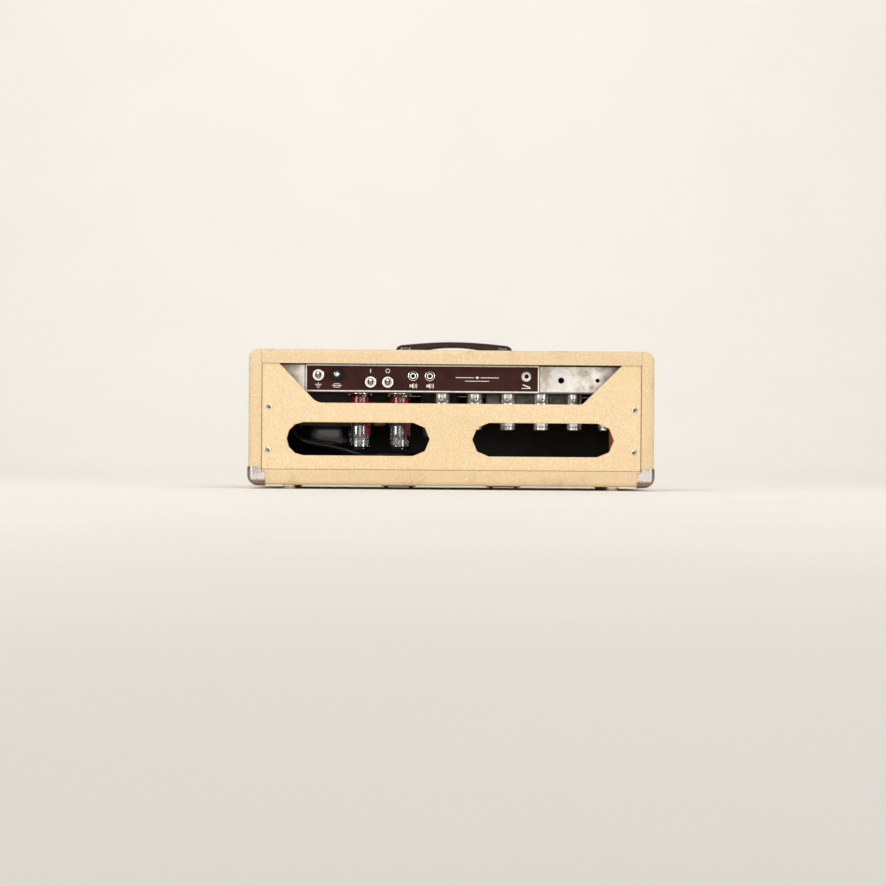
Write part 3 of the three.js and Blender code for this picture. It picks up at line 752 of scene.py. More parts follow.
def cut(obj, cutters, operation="DIFFERENCE"):
    """Boolean cuts, applied at once."""
    for cutter in cutters:
        modifier = obj.modifiers.new("cut", "BOOLEAN")
        modifier.operation = operation
        modifier.solver = "EXACT"
        modifier.object = cutter
        bpy.context.view_layer.update()
        mesh = bpy.data.meshes.new_from_object(obj.evaluated_get(bpy.context.evaluated_depsgraph_get()))
        obj.modifiers.clear()
        obj.data = mesh
    for cutter in cutters:
        bpy.data.objects.remove(cutter)


def screw_head(name, centre, radius, height, outward, finish="nickel", slot_turn=0.6, cross=False, **options):
    """An oval screw head with its driver slot, standing on a surface that faces outward."""
    profile = [(0, 0), (radius, 0), (radius, height * 0.3)]
    profile += [(radius * math.cos(a), height * (0.3 + 0.7 * math.sin(a))) for a in (0.5, 0.85, 1.2)]
    profile += [(0, height)]
    work = turned_mesh([(r, h) for r, h in profile], 28)
    head = from_bmesh(name, work)
    for turn in ((0, math.pi / 2) if cross else (0,)):
        groove = bmesh.new()
        bmesh.ops.create_cube(groove, size=1)
        length = radius * (1.3 if cross else 2.4)
        bmesh.ops.scale(groove, verts=groove.verts, vec=(length, radius * 0.22, height))
        bmesh.ops.rotate(groove, verts=groove.verts, matrix=Matrix.Rotation(slot_turn + turn, 3, "Z"))
        bmesh.ops.translate(groove, verts=groove.verts, vec=(0, 0, height))
        cut(head, [from_bmesh("groove", groove)])
    head.data.transform(outward.to_track_quat("Z", "Y").to_matrix().to_4x4())
    head.data.transform(Matrix.Translation(centre))
    return finish_piece(head, finish, **options)


def replace_materials(node, finish):
    """A CAD node that is shown as it is, with a procedural finish."""
    mesh = NODES[node].data
    mesh.materials.clear()
    mesh.materials.append(FINISH[finish])


# ---------------------------------------------------------------- mains cord

CORD_RADIUS = 3.5 * MM
COIL = {"x": 80, "y": 5, "inner": 38.5, "outer": 45.5, "layer": 7.0}
LEAD_ROUTE = [
    (246, 66, 122),
    (246, 66, 108),
    (245.4, 67, 96),
    (242, 70, 85.5),
    (234.5, 75, 77.5),
    (222.5, 79.5, 72.3),
    (207, 81.5, 68.8),
    (189, 81.5, 65.8),
    (171, 80, 61.6),
    (155, 77, 56.8),
    (142, 71.5, 53.2),
    (131, 64.5, 51.6),
    (121, 57.5, 51.6),
    (113, 53, 52.4),
    (106, 50.6, 52.8),
]
COIL_SHIFTS = [
    (270, 360, "in"),
    (570, 630, "down"),
    (840, 930, "out"),
    (1140, 1200, "down"),
    (1410, 1500, "in"),
    (1710, 1770, "down"),
    (1980, 2070, "out"),
]
COIL_TURN = 2340  # degrees from the lead's end to the plug's tail


def smooth_through(points, step):
    """A Catmull-Rom line through the points, sampled about every step."""
    points = [Vector(p) for p in points]
    padded = [2 * points[0] - points[1], *points, 2 * points[-1] - points[-2]]
    line = []
    for a, b, c, d in zip(padded, padded[1:], padded[2:], padded[3:]):
        count = max(2, round((c - b).length / step))
        for k in range(count):
            t = k / count
            square = (2 * a - 5 * b + 4 * c - d) * t * t
            cube = (3 * b - a - 3 * c + d) * t**3
            line.append(0.5 * (2 * b + (c - a) * t + square + cube))
    return [*line, points[-1]]


def coil_line(step=4):
    """The wound part: four layers of two turns, with eased shifts between its columns and layers."""
    line = []
    top = LEAD_ROUTE[-1][2]
    for degrees in range(0, COIL_TURN + 1, step):
        radius, height = COIL["outer"], top
        for start, end, kind in COIL_SHIFTS:
            share = min(max((degrees - start) / (end - start), 0), 1)
            eased = (1 - math.cos(math.pi * share)) / 2
            if kind == "down":
                height -= COIL["layer"] * eased
            else:
                radius += (COIL["outer"] - COIL["inner"]) * eased * (1 if kind == "out" else -1)
        angle = math.radians(90 + degrees)
        line.append((COIL["x"] + radius * math.cos(angle), COIL["y"] + radius * math.sin(angle), height))
    return line


def add_cord():
    """The mains lead, its coil on the cabinet's floor, the strain relief and the plug."""
    coil = coil_line()
    plug_low, plug_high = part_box("mains_plug")
    plug_axis = middle("mains_plug")
    tail_end = Vector((plug_low.x + 1 * MM, plug_axis.y, plug_axis.z)) / MM
    tail_start = Vector(coil[-1])
    lift = tail_end.z - tail_start.z
    tail = []
    for share in (0.2, 0.4, 0.6, 0.8, 1.0):
        eased = (1 - math.cos(math.pi * share)) / 2
        along = tail_start.lerp(tail_end, share)
        tail.append((along.x, along.y, tail_start.z + lift * eased))
    line = smooth_through([*LEAD_ROUTE, *coil[2::4], *tail], 4)
    curve = bpy.data.curves.new("mains_cord", "CURVE")
    curve.dimensions = "3D"
    curve.bevel_depth = CORD_RADIUS
    curve.bevel_resolution = 4
    curve.use_fill_caps = True
    spline = curve.splines.new("POLY")
    spline.points.add(len(line) - 1)
    for point, place in zip(spline.points, line):
        point.co = (*(place * MM), 1)
    cord = bpy.data.objects.new("mains_cord", curve)
    bpy.context.scene.collection.objects.link(cord)
    curve.materials.append(FINISH["cord_rubber"])
    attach(cord, CABINET)
    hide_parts("mains_lead", "mains_lead_coil")
    plug = add_plug(plug_high, plug_axis)
    relief = add_strain_relief()


def add_plug(high, axis):
    """A moulded two-blade plug with finger grooves and a flared face."""
    face = high.x / MM - 17
    profile = [(0, -36), (4.6, -36), (5.2, -34)]
    profile += [(5.4 + 0.35 * math.sin(k * math.pi) + 0.1 * k, -33 + 1.2 * k) for k in range(7)]
    profile += [(6.8, -23), (8.6, -17.5), (9, -16), (9, -4), (8.5, -2), (7, 0), (0, 0)]
    centre = Vector((face * MM, axis.y, axis.z))
    body = turned("mains_plug_body", profile, centre, "black_gloss", "x", slot="black_plastic")
    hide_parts("mains_plug")
    blades = []
    for side in (-1, 1):
        y = axis.y + side * 6.35 * MM
        low_corner = (face * MM - 1 * MM, y - 0.75 * MM, axis.z - 3.1 * MM)
        high_corner = (high.x, y + 0.75 * MM, axis.z + 3.1 * MM)
        blades.append(bevelled_box(f"plug_blade_{side}", low_corner, high_corner, "nickel", 0.35 * MM))
    return [body, joined("mains_plug_blades", blades)]


def add_strain_relief():
    """The tapered, ringed relief that the cord leaves the chassis through."""
    low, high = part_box("cord_strain_relief")
    centre = middle("cord_strain_relief")
    top = (high.z - low.z) / MM
    profile = [(0, 0), (4.3, 0), (4.5, 0.6)]
    for k in range(7):
        start = 1.5 + 2.2 * k
        profile += [(4.4 + 0.22 * k, start), (4.8 + 0.22 * k, start + 0.5), (4.8 + 0.22 * k, start + 1.5)]
    profile += [(6.3, 18), (8.6, 19.6), (9, 20.2), (9, top), (0, top)]
    relief = turned("cord_grommet", profile, (centre.x, centre.y, low.z), "cord_rubber", slot="cord")
    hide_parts("cord_strain_relief")
    return relief


# ---------------------------------------------------------------- covered cabinet

SEAM = 0.15 * MM
BAFFLE_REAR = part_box("grille_baffle")[1].y
WRAP_REAR = PANEL_LOW.y - 2 * MM


def edge_stations(steps=7):
    """(y, inset) pairs along the cabinet's depth: the front round-over, the inside, the back round-over."""
    turns = [math.pi / 2 * k / steps for k in range(steps + 1)]
    rear = [(HALF_DEPTH - EDGE_RADIUS * (1 - math.sin(a)), EDGE_RADIUS * (1 - math.cos(a))) for a in turns]
    front = [(-y, inset) for y, inset in reversed(rear)]
    return front + [(BAFFLE_REAR, 0.0), (WRAP_REAR, 0.0)] + rear


def covered_board(name, node, outer, inner):
    """A board swept along the depth: its outer line rolls in at both ends, its inner line is straight."""
    stations = edge_stations()
    vertices = []
    for y, inset in stations:
        lip = 1.6 * MM if inset == max(s[1] for s in stations) else 0.0
        for x, z, inward_x, inward_z in outer:
            vertices.append((x + inward_x * inset, y, z + inward_z * inset))
        for x, z, inward_x, inward_z in inner:
            vertices.append((x - inward_x * lip, y, z - inward_z * lip))
    board = lofted(name, vertices, len(outer) + len(inner))
    work = bmesh.new()
    work.from_mesh(board.data)
    bmesh.ops.recalc_face_normals(work, faces=work.faces)
    sharp = [e for e in work.edges if len(e.link_faces) == 2 and e.calc_face_angle() > math.radians(50)]
    bmesh.ops.bevel(work, geom=sharp, offset=0.5 * MM, segments=2, affect="EDGES", profile=0.5)
    work.to_mesh(board.data)
    work.free()
    finish_piece(board, "tolex_boards", slot="covering", smooth=35)
    board.data.materials.append(FINISH["bare_wood"])
    inner_normals = {(round(-ix), round(-iz)) for _, _, ix, iz in inner}
    for face in board.data.polygons:
        within = BAFFLE_REAR < face.center.y < WRAP_REAR
        if within and (round(face.normal.x), round(face.normal.z)) in inner_normals:
            face.material_index = 1
    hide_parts(node)
    return board


def corner_arc(x, z, start, radius=CORNER_RADIUS, steps=10):
    """Outer points round one corner of the cabinet, with their inward directions."""
    angles = [math.radians(start + 90 * k / steps) for k in range(steps + 1)]
    return [(x + radius * math.cos(a), z + radius * math.sin(a), -math.cos(a), -math.sin(a)) for a in angles]


def add_cabinet():
    """Four covered boards, the two screw cleats behind the panel, and the felt above the baffle."""
    side = INNER_X + SEAM
    strip = INNER_X - SEAM
    covered_board(
        "top_covering",
        "top_board",
        [(strip, TOP_HIGH.z, 0, -1), (-strip, TOP_HIGH.z, 0, -1)],
        [(-strip, CEILING, 0, 1), (strip, CEILING, 0, 1)],
    )
    covered_board(
        "bottom_covering",
        "bottom_board",
        [(-strip, UNDERSIDE, 0, 1), (strip, UNDERSIDE, 0, 1)],
        [(strip, FLOOR, 0, -1), (-strip, FLOOR, 0, -1)],
    )
    low = corner_arc(HALF_WIDTH - CORNER_RADIUS, UNDERSIDE + CORNER_RADIUS, -90)
    high = corner_arc(HALF_WIDTH - CORNER_RADIUS, TOP_HIGH.z - CORNER_RADIUS, 0)
    left_outer = [(side, UNDERSIDE, 0, 1), *low, *high, (side, TOP_HIGH.z, 0, -1)]
    left_inner = [(side, TOP_HIGH.z - EDGE_RADIUS, 1, 0), (side, UNDERSIDE + EDGE_RADIUS, 1, 0)]
    covered_board("left_side_covering", "side_board_left", left_outer, left_inner)
    right_outer = [(-x, z, -nx, nz) for x, z, nx, nz in reversed(left_outer)]
    right_inner = [(-x, z, -nx, nz) for x, z, nx, nz in reversed(left_inner)]
    covered_board("right_side_covering", "side_board_right", right_outer, right_inner)
    for name, sign, width in CLEAT_WIDTHS:
        xs = sorted((sign * (INNER_X - width), sign * (INNER_X - 0.2 * MM)))
        low_corner = (xs[0], PANEL_LOW.y - 19 * MM, FLOOR + 0.2 * MM)
        high_corner = (xs[1], PANEL_LOW.y - 0.2 * MM, 140 * MM)
        bevelled_box("panel_cleat_" + name, low_corner, high_corner, "bare_wood", 1 * MM, slot="covering")
    low_corner = (-INNER_X + 1 * MM, -104 * MM, 145.1 * MM)
    high_corner = (INNER_X - 1 * MM, -98.5 * MM, 147.4 * MM)
    bevelled_box("baffle_top_felt", low_corner, high_corner, "painted_board", 0.5 * MM, slot="black_board")


def panel_outlines():
    """The back panel's outline and its two slots, in millimetres."""
    gap = 0.7  # more than the solid panel's, for the thickness of the covering's turned edge
    edge = PANEL_HIGH.x / MM - gap
    bottom = PANEL_LOW.z / MM + gap
    top = PANEL_HIGH.z / MM - gap
    outline = rounded_path(
        [
            (-edge, bottom, 1),
            (edge, bottom, 1),
            (edge, top, 1),
            (261.5, top, 1.5),
            (204.5, 130.7, 22),
            (-198, 130.7, 10),
            (-258.1, top, 1.5),
            (-edge, top, 1),
        ]
    )
    left_slot = slot_outline(33.2, 249.6, 50.2, (4, 6))
    right_slot = slot_outline(-246.6, -31.3, 51, (4, 4))
    return [outline, left_slot, right_slot]


def slot_outline(left, right, height, facets):
    """A long slot whose rounded ends have flats, where the covering was slit and folded in."""
    radius = height / 2
    middle_z = 51 + radius
    corners = []
    for centre, start, count in ((right - radius, -90, facets[1]), (left + radius, 90, facets[0])):
        for k in range(count + 1):
            angle = math.radians(start + 180 * k / count)
            corners.append((centre + radius * math.cos(angle), middle_z + radius * math.sin(angle), 3.5))
    return rounded_path(corners, 4)


def add_back_panel():
    """The covered back panel, with its four screws in cup washers."""
    panel = plate("back_panel_covering", panel_outlines(), PANEL_LOW.y, PANEL_HIGH.y, 1.1 * MM, 3)
    finish_piece(panel, "tolex", slot="covering", smooth=40)
    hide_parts("back_panel")
    places = ((276.1, 123.7, 0.5), (277.1, 58.5, 2.2), (-277.1, 122.6, 1.2), (-276.3, 58.1, 0.2))
    for number, (x, z, turn) in enumerate(places, 1):
        centre = Vector((x * MM, PANEL_HIGH.y, z * MM))
        washer = [(1.8, 0), (4.6, 0), (4.5, 0.5), (3.7, 1.2), (2.6, 1.3), (1.8, 0.7), (1.8, 0)]
        turned(f"panel_screw_cup_{number}", washer, centre, "nickel", "y", 32, slot="nickel")
        spot = centre + Vector((0, 0.5 * MM, 0))
        # the screw heads take the darkened nickel: painted shade for the recess they sit in
        screw_head(f"panel_screw_{number}", spot, 2.9 * MM, 1.5 * MM, Vector((0, 1, 0)), slot_turn=turn,
                   finish="worn_nickel", cross=True, slot="nickel")


def grown_form(name, grow):
    """The cabinet's outer form grown outwards, over its left rear bottom corner only."""
    radius = CORNER_RADIUS + grow
    bend = EDGE_RADIUS + grow
    right = HALF_WIDTH + grow
    bottom = UNDERSIDE - grow
    inner_x, top_z = right - 60 * MM, bottom + 60 * MM
    outer = [
        (inner_x, bottom, 0, 1),
        *corner_arc(right - radius, bottom + radius, -90, radius),
        (right, top_z, -1, 0),
    ]
    steps = 10
    turns = [math.pi / 2 * k / steps for k in range(steps + 1)]
    rear = HALF_DEPTH + grow
    stations = [(rear - 60 * MM, 0.0)]
    stations += [(rear - bend * (1 - math.sin(a)), bend * (1 - math.cos(a))) for a in turns]
    vertices = []
    for y, inset in stations:
        vertices += [(x + nx * inset, y, z + nz * inset) for x, z, nx, nz in outer]
        vertices.append((inner_x, y, top_z))
    obj = lofted(name, vertices, len(outer) + 1)
    recalc(obj)
    return obj


def plain_box(name, low, high):
    """A bare box, to cut with."""
    work, centre = cube_mesh(low, high)
    bmesh.ops.translate(work, verts=work.verts, vec=centre)
    return from_bmesh(name, work)


def plain_rod(name, radius, length, centre, axis):
    """A bare rod, to cut with."""
    work = turned_mesh([(0, -length / 2), (radius, -length / 2), (radius, length / 2), (0, length / 2)], 40)
    lay_along(work, axis)
    bmesh.ops.translate(work, verts=work.verts, vec=Vector(centre))
    return from_bmesh(name, work)


def add_corners():
    """Pressed three-sided corner caps, made once at the left rear and mirrored to the other three."""
    low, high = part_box("corner_rear_left")
    cap = grown_form("corner_cap", 1.35 * MM)
    inner = grown_form("corner_inner", 0.25 * MM)
    cut(cap, [inner])
    far = 0.03
    region = plain_box("region", (low.x, low.y, low.z - far), (high.x + far, high.y + far, high.z))
    cut(cap, [region], "INTERSECT")
    notch = 7.5 * MM
    rods = [
        plain_rod("notch_rear", notch, far, (low.x, high.y, high.z), "y"),
        plain_rod("notch_side", notch, far, (high.x, low.y, high.z), "x"),
        plain_rod("notch_base", notch, far, (low.x, low.y, low.z), "z"),
    ]
    cut(cap, rods)
    centre = middle("corner_rear_left")
    for name, sign_x, sign_y in (
        ("front_right", -1, -1),
        ("front_left", 1, -1),
        ("rear_left", 1, 1),
        ("rear_right", -1, 1),
    ):
        mesh = cap.data.copy()
        mesh.transform(Matrix.Diagonal((sign_x, sign_y, 1, 1)))
        if sign_x * sign_y < 0:
            mesh.flip_normals()
        piece = bpy.data.objects.new("corner_cap_" + name, mesh)
        bpy.context.scene.collection.objects.link(piece)
        finish_piece(piece, "cap_nickel", slot="nickel", smooth=38)
        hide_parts("corner_" + name)
        add_corner_beads(name, sign_x, sign_y, low, high)
        side = Vector((sign_x * (HALF_WIDTH + 1.35 * MM), sign_y * centre.y, UNDERSIDE + 14 * MM))
        outward = Vector((sign_x, 0, 0))
        screw_head("corner_side_screw_" + name, side - outward * 0.25 * MM, 2.4 * MM, 0.45 * MM, outward,
                   cross=True, slot="nickel")
    bpy.data.objects.remove(cap)


def add_corner_beads(name, sign_x, sign_y, low, high):
    """The pressed ridge round each of a corner cap's three concave notches."""
    radius = 7.5 * MM + 0.9 * MM
    quarter = [math.radians(90 * k / 10) for k in range(11)]
    proud = 1.35 * MM - 0.15 * MM
    side, rear, under = HALF_WIDTH + proud, HALF_DEPTH + proud, UNDERSIDE - proud
    loops = [
        [(low.x + radius * math.cos(a), rear, high.z - radius * math.sin(a)) for a in quarter],
        [(side, low.y + radius * math.cos(a), high.z - radius * math.sin(a)) for a in quarter],
        [(low.x + radius * math.cos(a), low.y + radius * math.sin(a), under) for a in quarter],
    ]
    beads = []
    for k, loop in enumerate(loops):
        points = [(sign_x * x, sign_y * y, z) for x, y, z in loop]
        beads.append(wire(f"corner_bead_{name}_{k}", points, 0.75 * MM, "nickel", 10, slot="nickel"))
    joined("corner_beads_" + name, beads)


def add_glides():
    """Domed nickel glides that the cabinet stands on."""
    for name in ("front_right", "front_left", "rear_left", "rear_right"):
        node = "glide_" + name
        centre = middle(node)
        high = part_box(node)[1].z / MM
        profile = [(0, 0), (7, 0), *arc(7, 2.6, 2.6, -88, -35, 4), (9.9, 2.2), (10.4, 3.6), (10.5, 4.6)]
        profile += [(10.5, high - 0.4), (10.1, high), (0, high)]
        glide = turned("glide_cup_" + name, profile, (centre.x, centre.y, 0), "nickel", slot="nickel")
        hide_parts(node)


# ---------------------------------------------------------------- handle


def handle_outline(steps=14):
    """The grip's side view in millimetres above its own base."""

    def bezier(a, b, c, d):
        points = []
        for k in range(steps):
            t = k / steps
            points.append(a * (1 - t) ** 3 + b * 3 * t * (1 - t) ** 2 + c * 3 * t * t * (1 - t) + d * t**3)
        return points

    def v(x, z):
        return Vector((x, z))

    half = (
        bezier(v(0, 8.9), v(44, 8.9), v(50, 0), v(64, 0))
        + [v(64, 0)]
        + [Vector((88 + 3 * math.sin(a), 3 - 3 * math.cos(a))) for a in (0, 0.5, 1.0)]
        + bezier(v(91, 3), v(91, 8.5), v(87, 11.6), v(80, 12.5))
        + bezier(v(80, 12.5), v(58, 14.6), v(30, 17.5), v(0, 17.5))
        + [v(0, 17.5)]
    )
    mirrored = [Vector((-p.x, p.y)) for p in reversed(half[1:-1])]
    return half + mirrored


def add_handle():
    """The arched grip with its two slots, and the bracket in each."""
    low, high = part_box("handle")
    bars = [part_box("handle_bracket_left"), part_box("handle_bracket_right")]
    base = low.z / MM
    shift = (low.x + high.x) / 2 / MM
    outline = [Vector((p.x + shift, p.y + base)) for p in handle_outline()]
    grip = plate("handle_grip", [outline], low.y, high.y, 2.6 * MM, 5)
    for bar_low, bar_high in bars:
        low_corner = (bar_low.x - 0.7 * MM, -0.03, low.z + 2.5 * MM)
        high_corner = (bar_high.x + 0.7 * MM, 0.03, low.z + 9.5 * MM)
        cut(grip, [plain_box("slot", low_corner, high_corner)])
    finish_piece(grip, "handle_plastic", body="handle", slot="handle", smooth=40)
    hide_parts("handle")
    for (bar_low, bar_high), side in zip(bars, ("left", "right")):
        add_bracket("handle_bracket_" + side, bar_low, bar_high)


def add_bracket(node, low, high):
    """A bent strap with rounded bends, and a screw through each ear."""
    base = low.z / MM
    sheet = 1.5
    half = [(27, 0, 0.3), (14, 0, 0.3), (14, 7.2, 0.8)]
    over = [(14 + sheet, 7.2 + sheet, 2.2), (14 + sheet, sheet, 0.8), (27, sheet, 0.3)]
    section = [(-u, v, r) for u, v, r in half] + [(u, v, r) for u, v, r in reversed(half)]
    section += [(u, v, r) for u, v, r in reversed(over)] + [(-u, v, r) for u, v, r in over]
    path = rounded_path([(u, v + base, r) for u, v, r in section], 5)
    strap = plate("strap_" + node, [path], -(high.x - low.x) / 2, (high.x - low.x) / 2, 0.3 * MM, 2)
    strap.data.transform(Matrix.Rotation(math.pi / 2, 4, "Z"))
    strap.data.transform(Matrix.Translation(((low.x + high.x) / 2, 0, 0)))
    finish_piece(strap, "worn_nickel", slot="nickel", smooth=35)
    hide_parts(node)
    for sign in (-1, 1):
        centre = Vector(((low.x + high.x) / 2, sign * 21.5 * MM, low.z + sheet * MM))
        screw_head(f"{node}_screw_{'rear' if sign > 0 else 'front'}", centre, 3.4 * MM, 1.9 * MM,
                   Vector((0, 0, 1)), slot_turn=0.7 * sign, slot="nickel")


# ---------------------------------------------------------------- rear faceplate, switches, fuse and jacks


def mark(name, outlines, face, height=0.12 * MM):
    """A flat bright mark standing a hair proud of the rear faceplate."""
    return plate(name, outlines, face, face + height)


def bar(x0, z0, x1, z1, width):
    """A straight stroke's outline."""
    start, end = Vector((x0, z0)), Vector((x1, z1))
    side = (end - start).normalized().orthogonal() * width / 2
    return [start + side, end + side, end - side, start - side]


def ring_stroke(x, z, radius, width, start=0, end=360, steps=28):
    """Part of a ring's outline, angles in degrees."""
    angles = [math.radians(start + (end - start) * k / steps) for k in range(steps + 1)]
    outer, inner = (
        [Vector((x + reach * math.cos(a), z + reach * math.sin(a))) for a in angles]
        for reach in (radius + width / 2, radius - width / 2)
    )
    return outer + inner[::-1]


def rear_marks():
    """Generic picture marks under or over each fitting, seen from behind, where +X is on the left."""
    stroke = 1.0
    ground = [bar(203.1, 162, 203.1, 159.4, 0.9)]
    ground += [bar(203.1 - w, z, 203.1 + w, z, 0.9) for w, z in ((5, 159), (3.2, 156.6), (1.4, 154.2))]
    fuse = [bar(167.6, 157.6, 182, 157.6, 0.9)]
    fuse += [bar(170.2, z, 179.4, z, 0.9) for z in (155, 160.2)]
    fuse += [bar(x, 154.6, x, 160.6, 0.9) for x in (170.4, 179.2)]
    power = [bar(123.7, 177.2, 123.7, 183.4, 1.4)]
    standby = [ring_stroke(97.6, 180.3, 2.9, stroke, 0, 359.9)]
    speaker = [
        [Vector((62, 155.8)), Vector((64.2, 155.8)), Vector((64.2, 159.8)), Vector((62, 159.8))],
        [Vector((61.4, 156.2)), Vector((58.2, 153.6)), Vector((58.2, 162)), Vector((61.4, 159.4))],
        ring_stroke(59.4, 157.8, 4.0, stroke, 140, 220, 10),
        ring_stroke(59.4, 157.8, 6.2, stroke, 145, 215, 10),
    ]
    extension = [[Vector((p.x - 25.6, p.y)) for p in outline] for outline in speaker]
    pedal = [
        bar(-120.4, 155.2, -106.8, 155.2, 1.2),
        bar(-119.4, 156.6, -108.2, 160.8, 1.6),
    ]
    ornament = [
        bar(-6, 170.9, -34, 170.9, stroke),
        bar(-44, 170.9, -72, 170.9, stroke),
        [Vector((-39, 173)), Vector((-36, 170.9)), Vector((-39, 168.8)), Vector((-42, 170.9))],
        bar(-20, 165.6, -57, 165.6, 0.9),
    ]
    return {
        "ground": ground,
        "fuse": fuse,
        "power": power,
        "standby": standby,
        "speaker": speaker,
        "extension": extension,
        "pedal": pedal,
        "ornament": ornament,
    }


def add_rear_plate():
    """The rear faceplate's finish, border and marks, and dark strips of painted shade on the chassis wall
    above it, under the top board.
    """
    replace_materials("rear_faceplate", "enamel")
    face = PLATE_HIGH.y
    left, right = PLATE_LOW.x / MM, PLATE_HIGH.x / MM
    bottom, top = PLATE_LOW.z / MM, PLATE_HIGH.z / MM
    border = 2.0
    outer = rounded_path([(left, bottom, 2.5), (right, bottom, 2.5), (right, top, 2.5), (left, top, 2.5)], 6)
    inner = rounded_path(
        [
            (left + border, bottom + border, 1.6),
            (right - border, bottom + border, 1.6),
            (right - border, top - border, 1.6),
            (left + border, top - border, 1.6),
        ],
        6,
    )
    frame_piece = plate("rear_plate_border", [outer, inner], face, face + 0.25 * MM, 0.1 * MM, 2)
    finish_piece(frame_piece, "plate_print", slot="faceplate", smooth=40)
    for name, outlines in rear_marks().items():
        pieces = [mark(f"{name}_{k}", [outline], face) for k, outline in enumerate(outlines)]
        finish_piece(joined("plate_mark_" + name, pieces), "plate_print", slot="faceplate", smooth=0)
    # dark strips laid on the chassis wall's face as painted shade, where the top board shades the wall's
    # upper edge
    shade_strips = (("left", right, INNER_X / MM - 2, 188.8), ("middle", left, right, top + 0.15),
             ("right", -INNER_X / MM + 2, left, 188.4))
    for name, start, end, below in shade_strips:
        low_corner = (start * MM, CHASSIS_HIGH.y + 0.1 * MM, below * MM)
        high_corner = (end * MM, CHASSIS_HIGH.y + 1.6 * MM, CHASSIS_HIGH.z - 0.1 * MM)
        bevelled_box("chassis_edge_shade_strip_" + name, low_corner, high_corner, "painted_board", 0.3 * MM,
                     slot="black_board")


def knurled(name, centre, inner, outer, back, front, teeth):
    """A round nut with a notched rim: a turned ring whose rim is cut by small grooves."""
    segments = teeth * 4
    work = bmesh.new()
    rise = front - back
    profile = [(inner, back), (outer, back), (outer, front - 0.6 * rise), (outer - 0.6, front - 0.15 * rise),
               (outer - 1.5, front), (inner + 0.5, front), (inner, front - 0.4)]
    rings = []
    for radius, height in profile:
        ring = []
        for k in range(segments):
            angle = 2 * math.pi * k / segments
            groove = 0.35 if (radius > outer * 0.95 and k % 4 == 0) else 0.0
            ring.append(work.verts.new(((radius - groove) * math.cos(angle) * MM,
                                        (radius - groove) * math.sin(angle) * MM, height * MM)))
        rings.append(ring)
    bridge(work, rings + rings[:1])
    bmesh.ops.recalc_face_normals(work, faces=work.faces)
    lay_along(work, "y")
    bmesh.ops.translate(work, verts=work.verts, vec=Vector(centre))
    return finish_piece(from_bmesh(name, work), "nickel", slot="nickel", smooth=25)


def threads(inner, radius, start, end, pitch=0.75):
    """A turned, threaded sleeve's closed profile, with a chamfered free end."""
    profile = [(inner, start), (radius, start)]
    height = start + pitch
    while height < end - pitch:
        profile += [(radius, height), (radius - 0.32, height + pitch / 2)]
        height += pitch
    return profile + [(radius, end - 0.7), (radius - 0.5, end), (inner, end), (inner, start)]


def add_switches():
    """Three toggle switches: housing and bushing, a notched dress nut, and a chromed bat lever."""
    face = PLATE_HIGH.y / MM
    pivot = 100.5
    tilt = Matrix.Rotation(math.radians(12), 4, "X")
    for name in ("ground", "power", "standby"):
        node = name + "_switch"
        low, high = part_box(node)
        x = (low.x + high.x) / 2
        z = (low.z + high.z) / 2
        profile = threads(4.9, 5.9, face, high.y / MM)
        bushing = turned(node + "_bushing", profile, (x, 0, z), "nickel", "y", 48, slot="nickel")
        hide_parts(node)
        knurled(node + "_nut", (x, 0, z), 6.0, 9.2, face + 0.2, face + 3.4, 26)
        low_corner = (x - 8.5 * MM, low.y, z - 14 * MM)
        high_corner = (x + 8.5 * MM, low.y + 20 * MM, z + 14 * MM)
        bevelled_box(node + "_housing", low_corner, high_corner, "black_gloss", 1 * MM, slot="black_plastic")
        profile = [(0, -4), (2.2, -3.4), (3.6, -2), (4.1, -0.4), (3.7, 1.4), (2.7, 2.9), (1.9, 4.2)]
        profile += [(1.9, 5), (2.25, 7.4), (2.7, 9.6), *arc(0, 10.8, 2.9, 0, 90, 7)[:-1], (0, 13.4)]
        lever_tilt = Matrix.Rotation(-math.pi / 2, 4, "X")
        work_tilt = tilt @ lever_tilt
        lever = turned(name + "_bat", profile, (x, pivot * MM, z), "nickel", "z", 32, tilt=work_tilt,
                       body=name + "_lever", slot="nickel")
        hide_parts(name + "_lever")


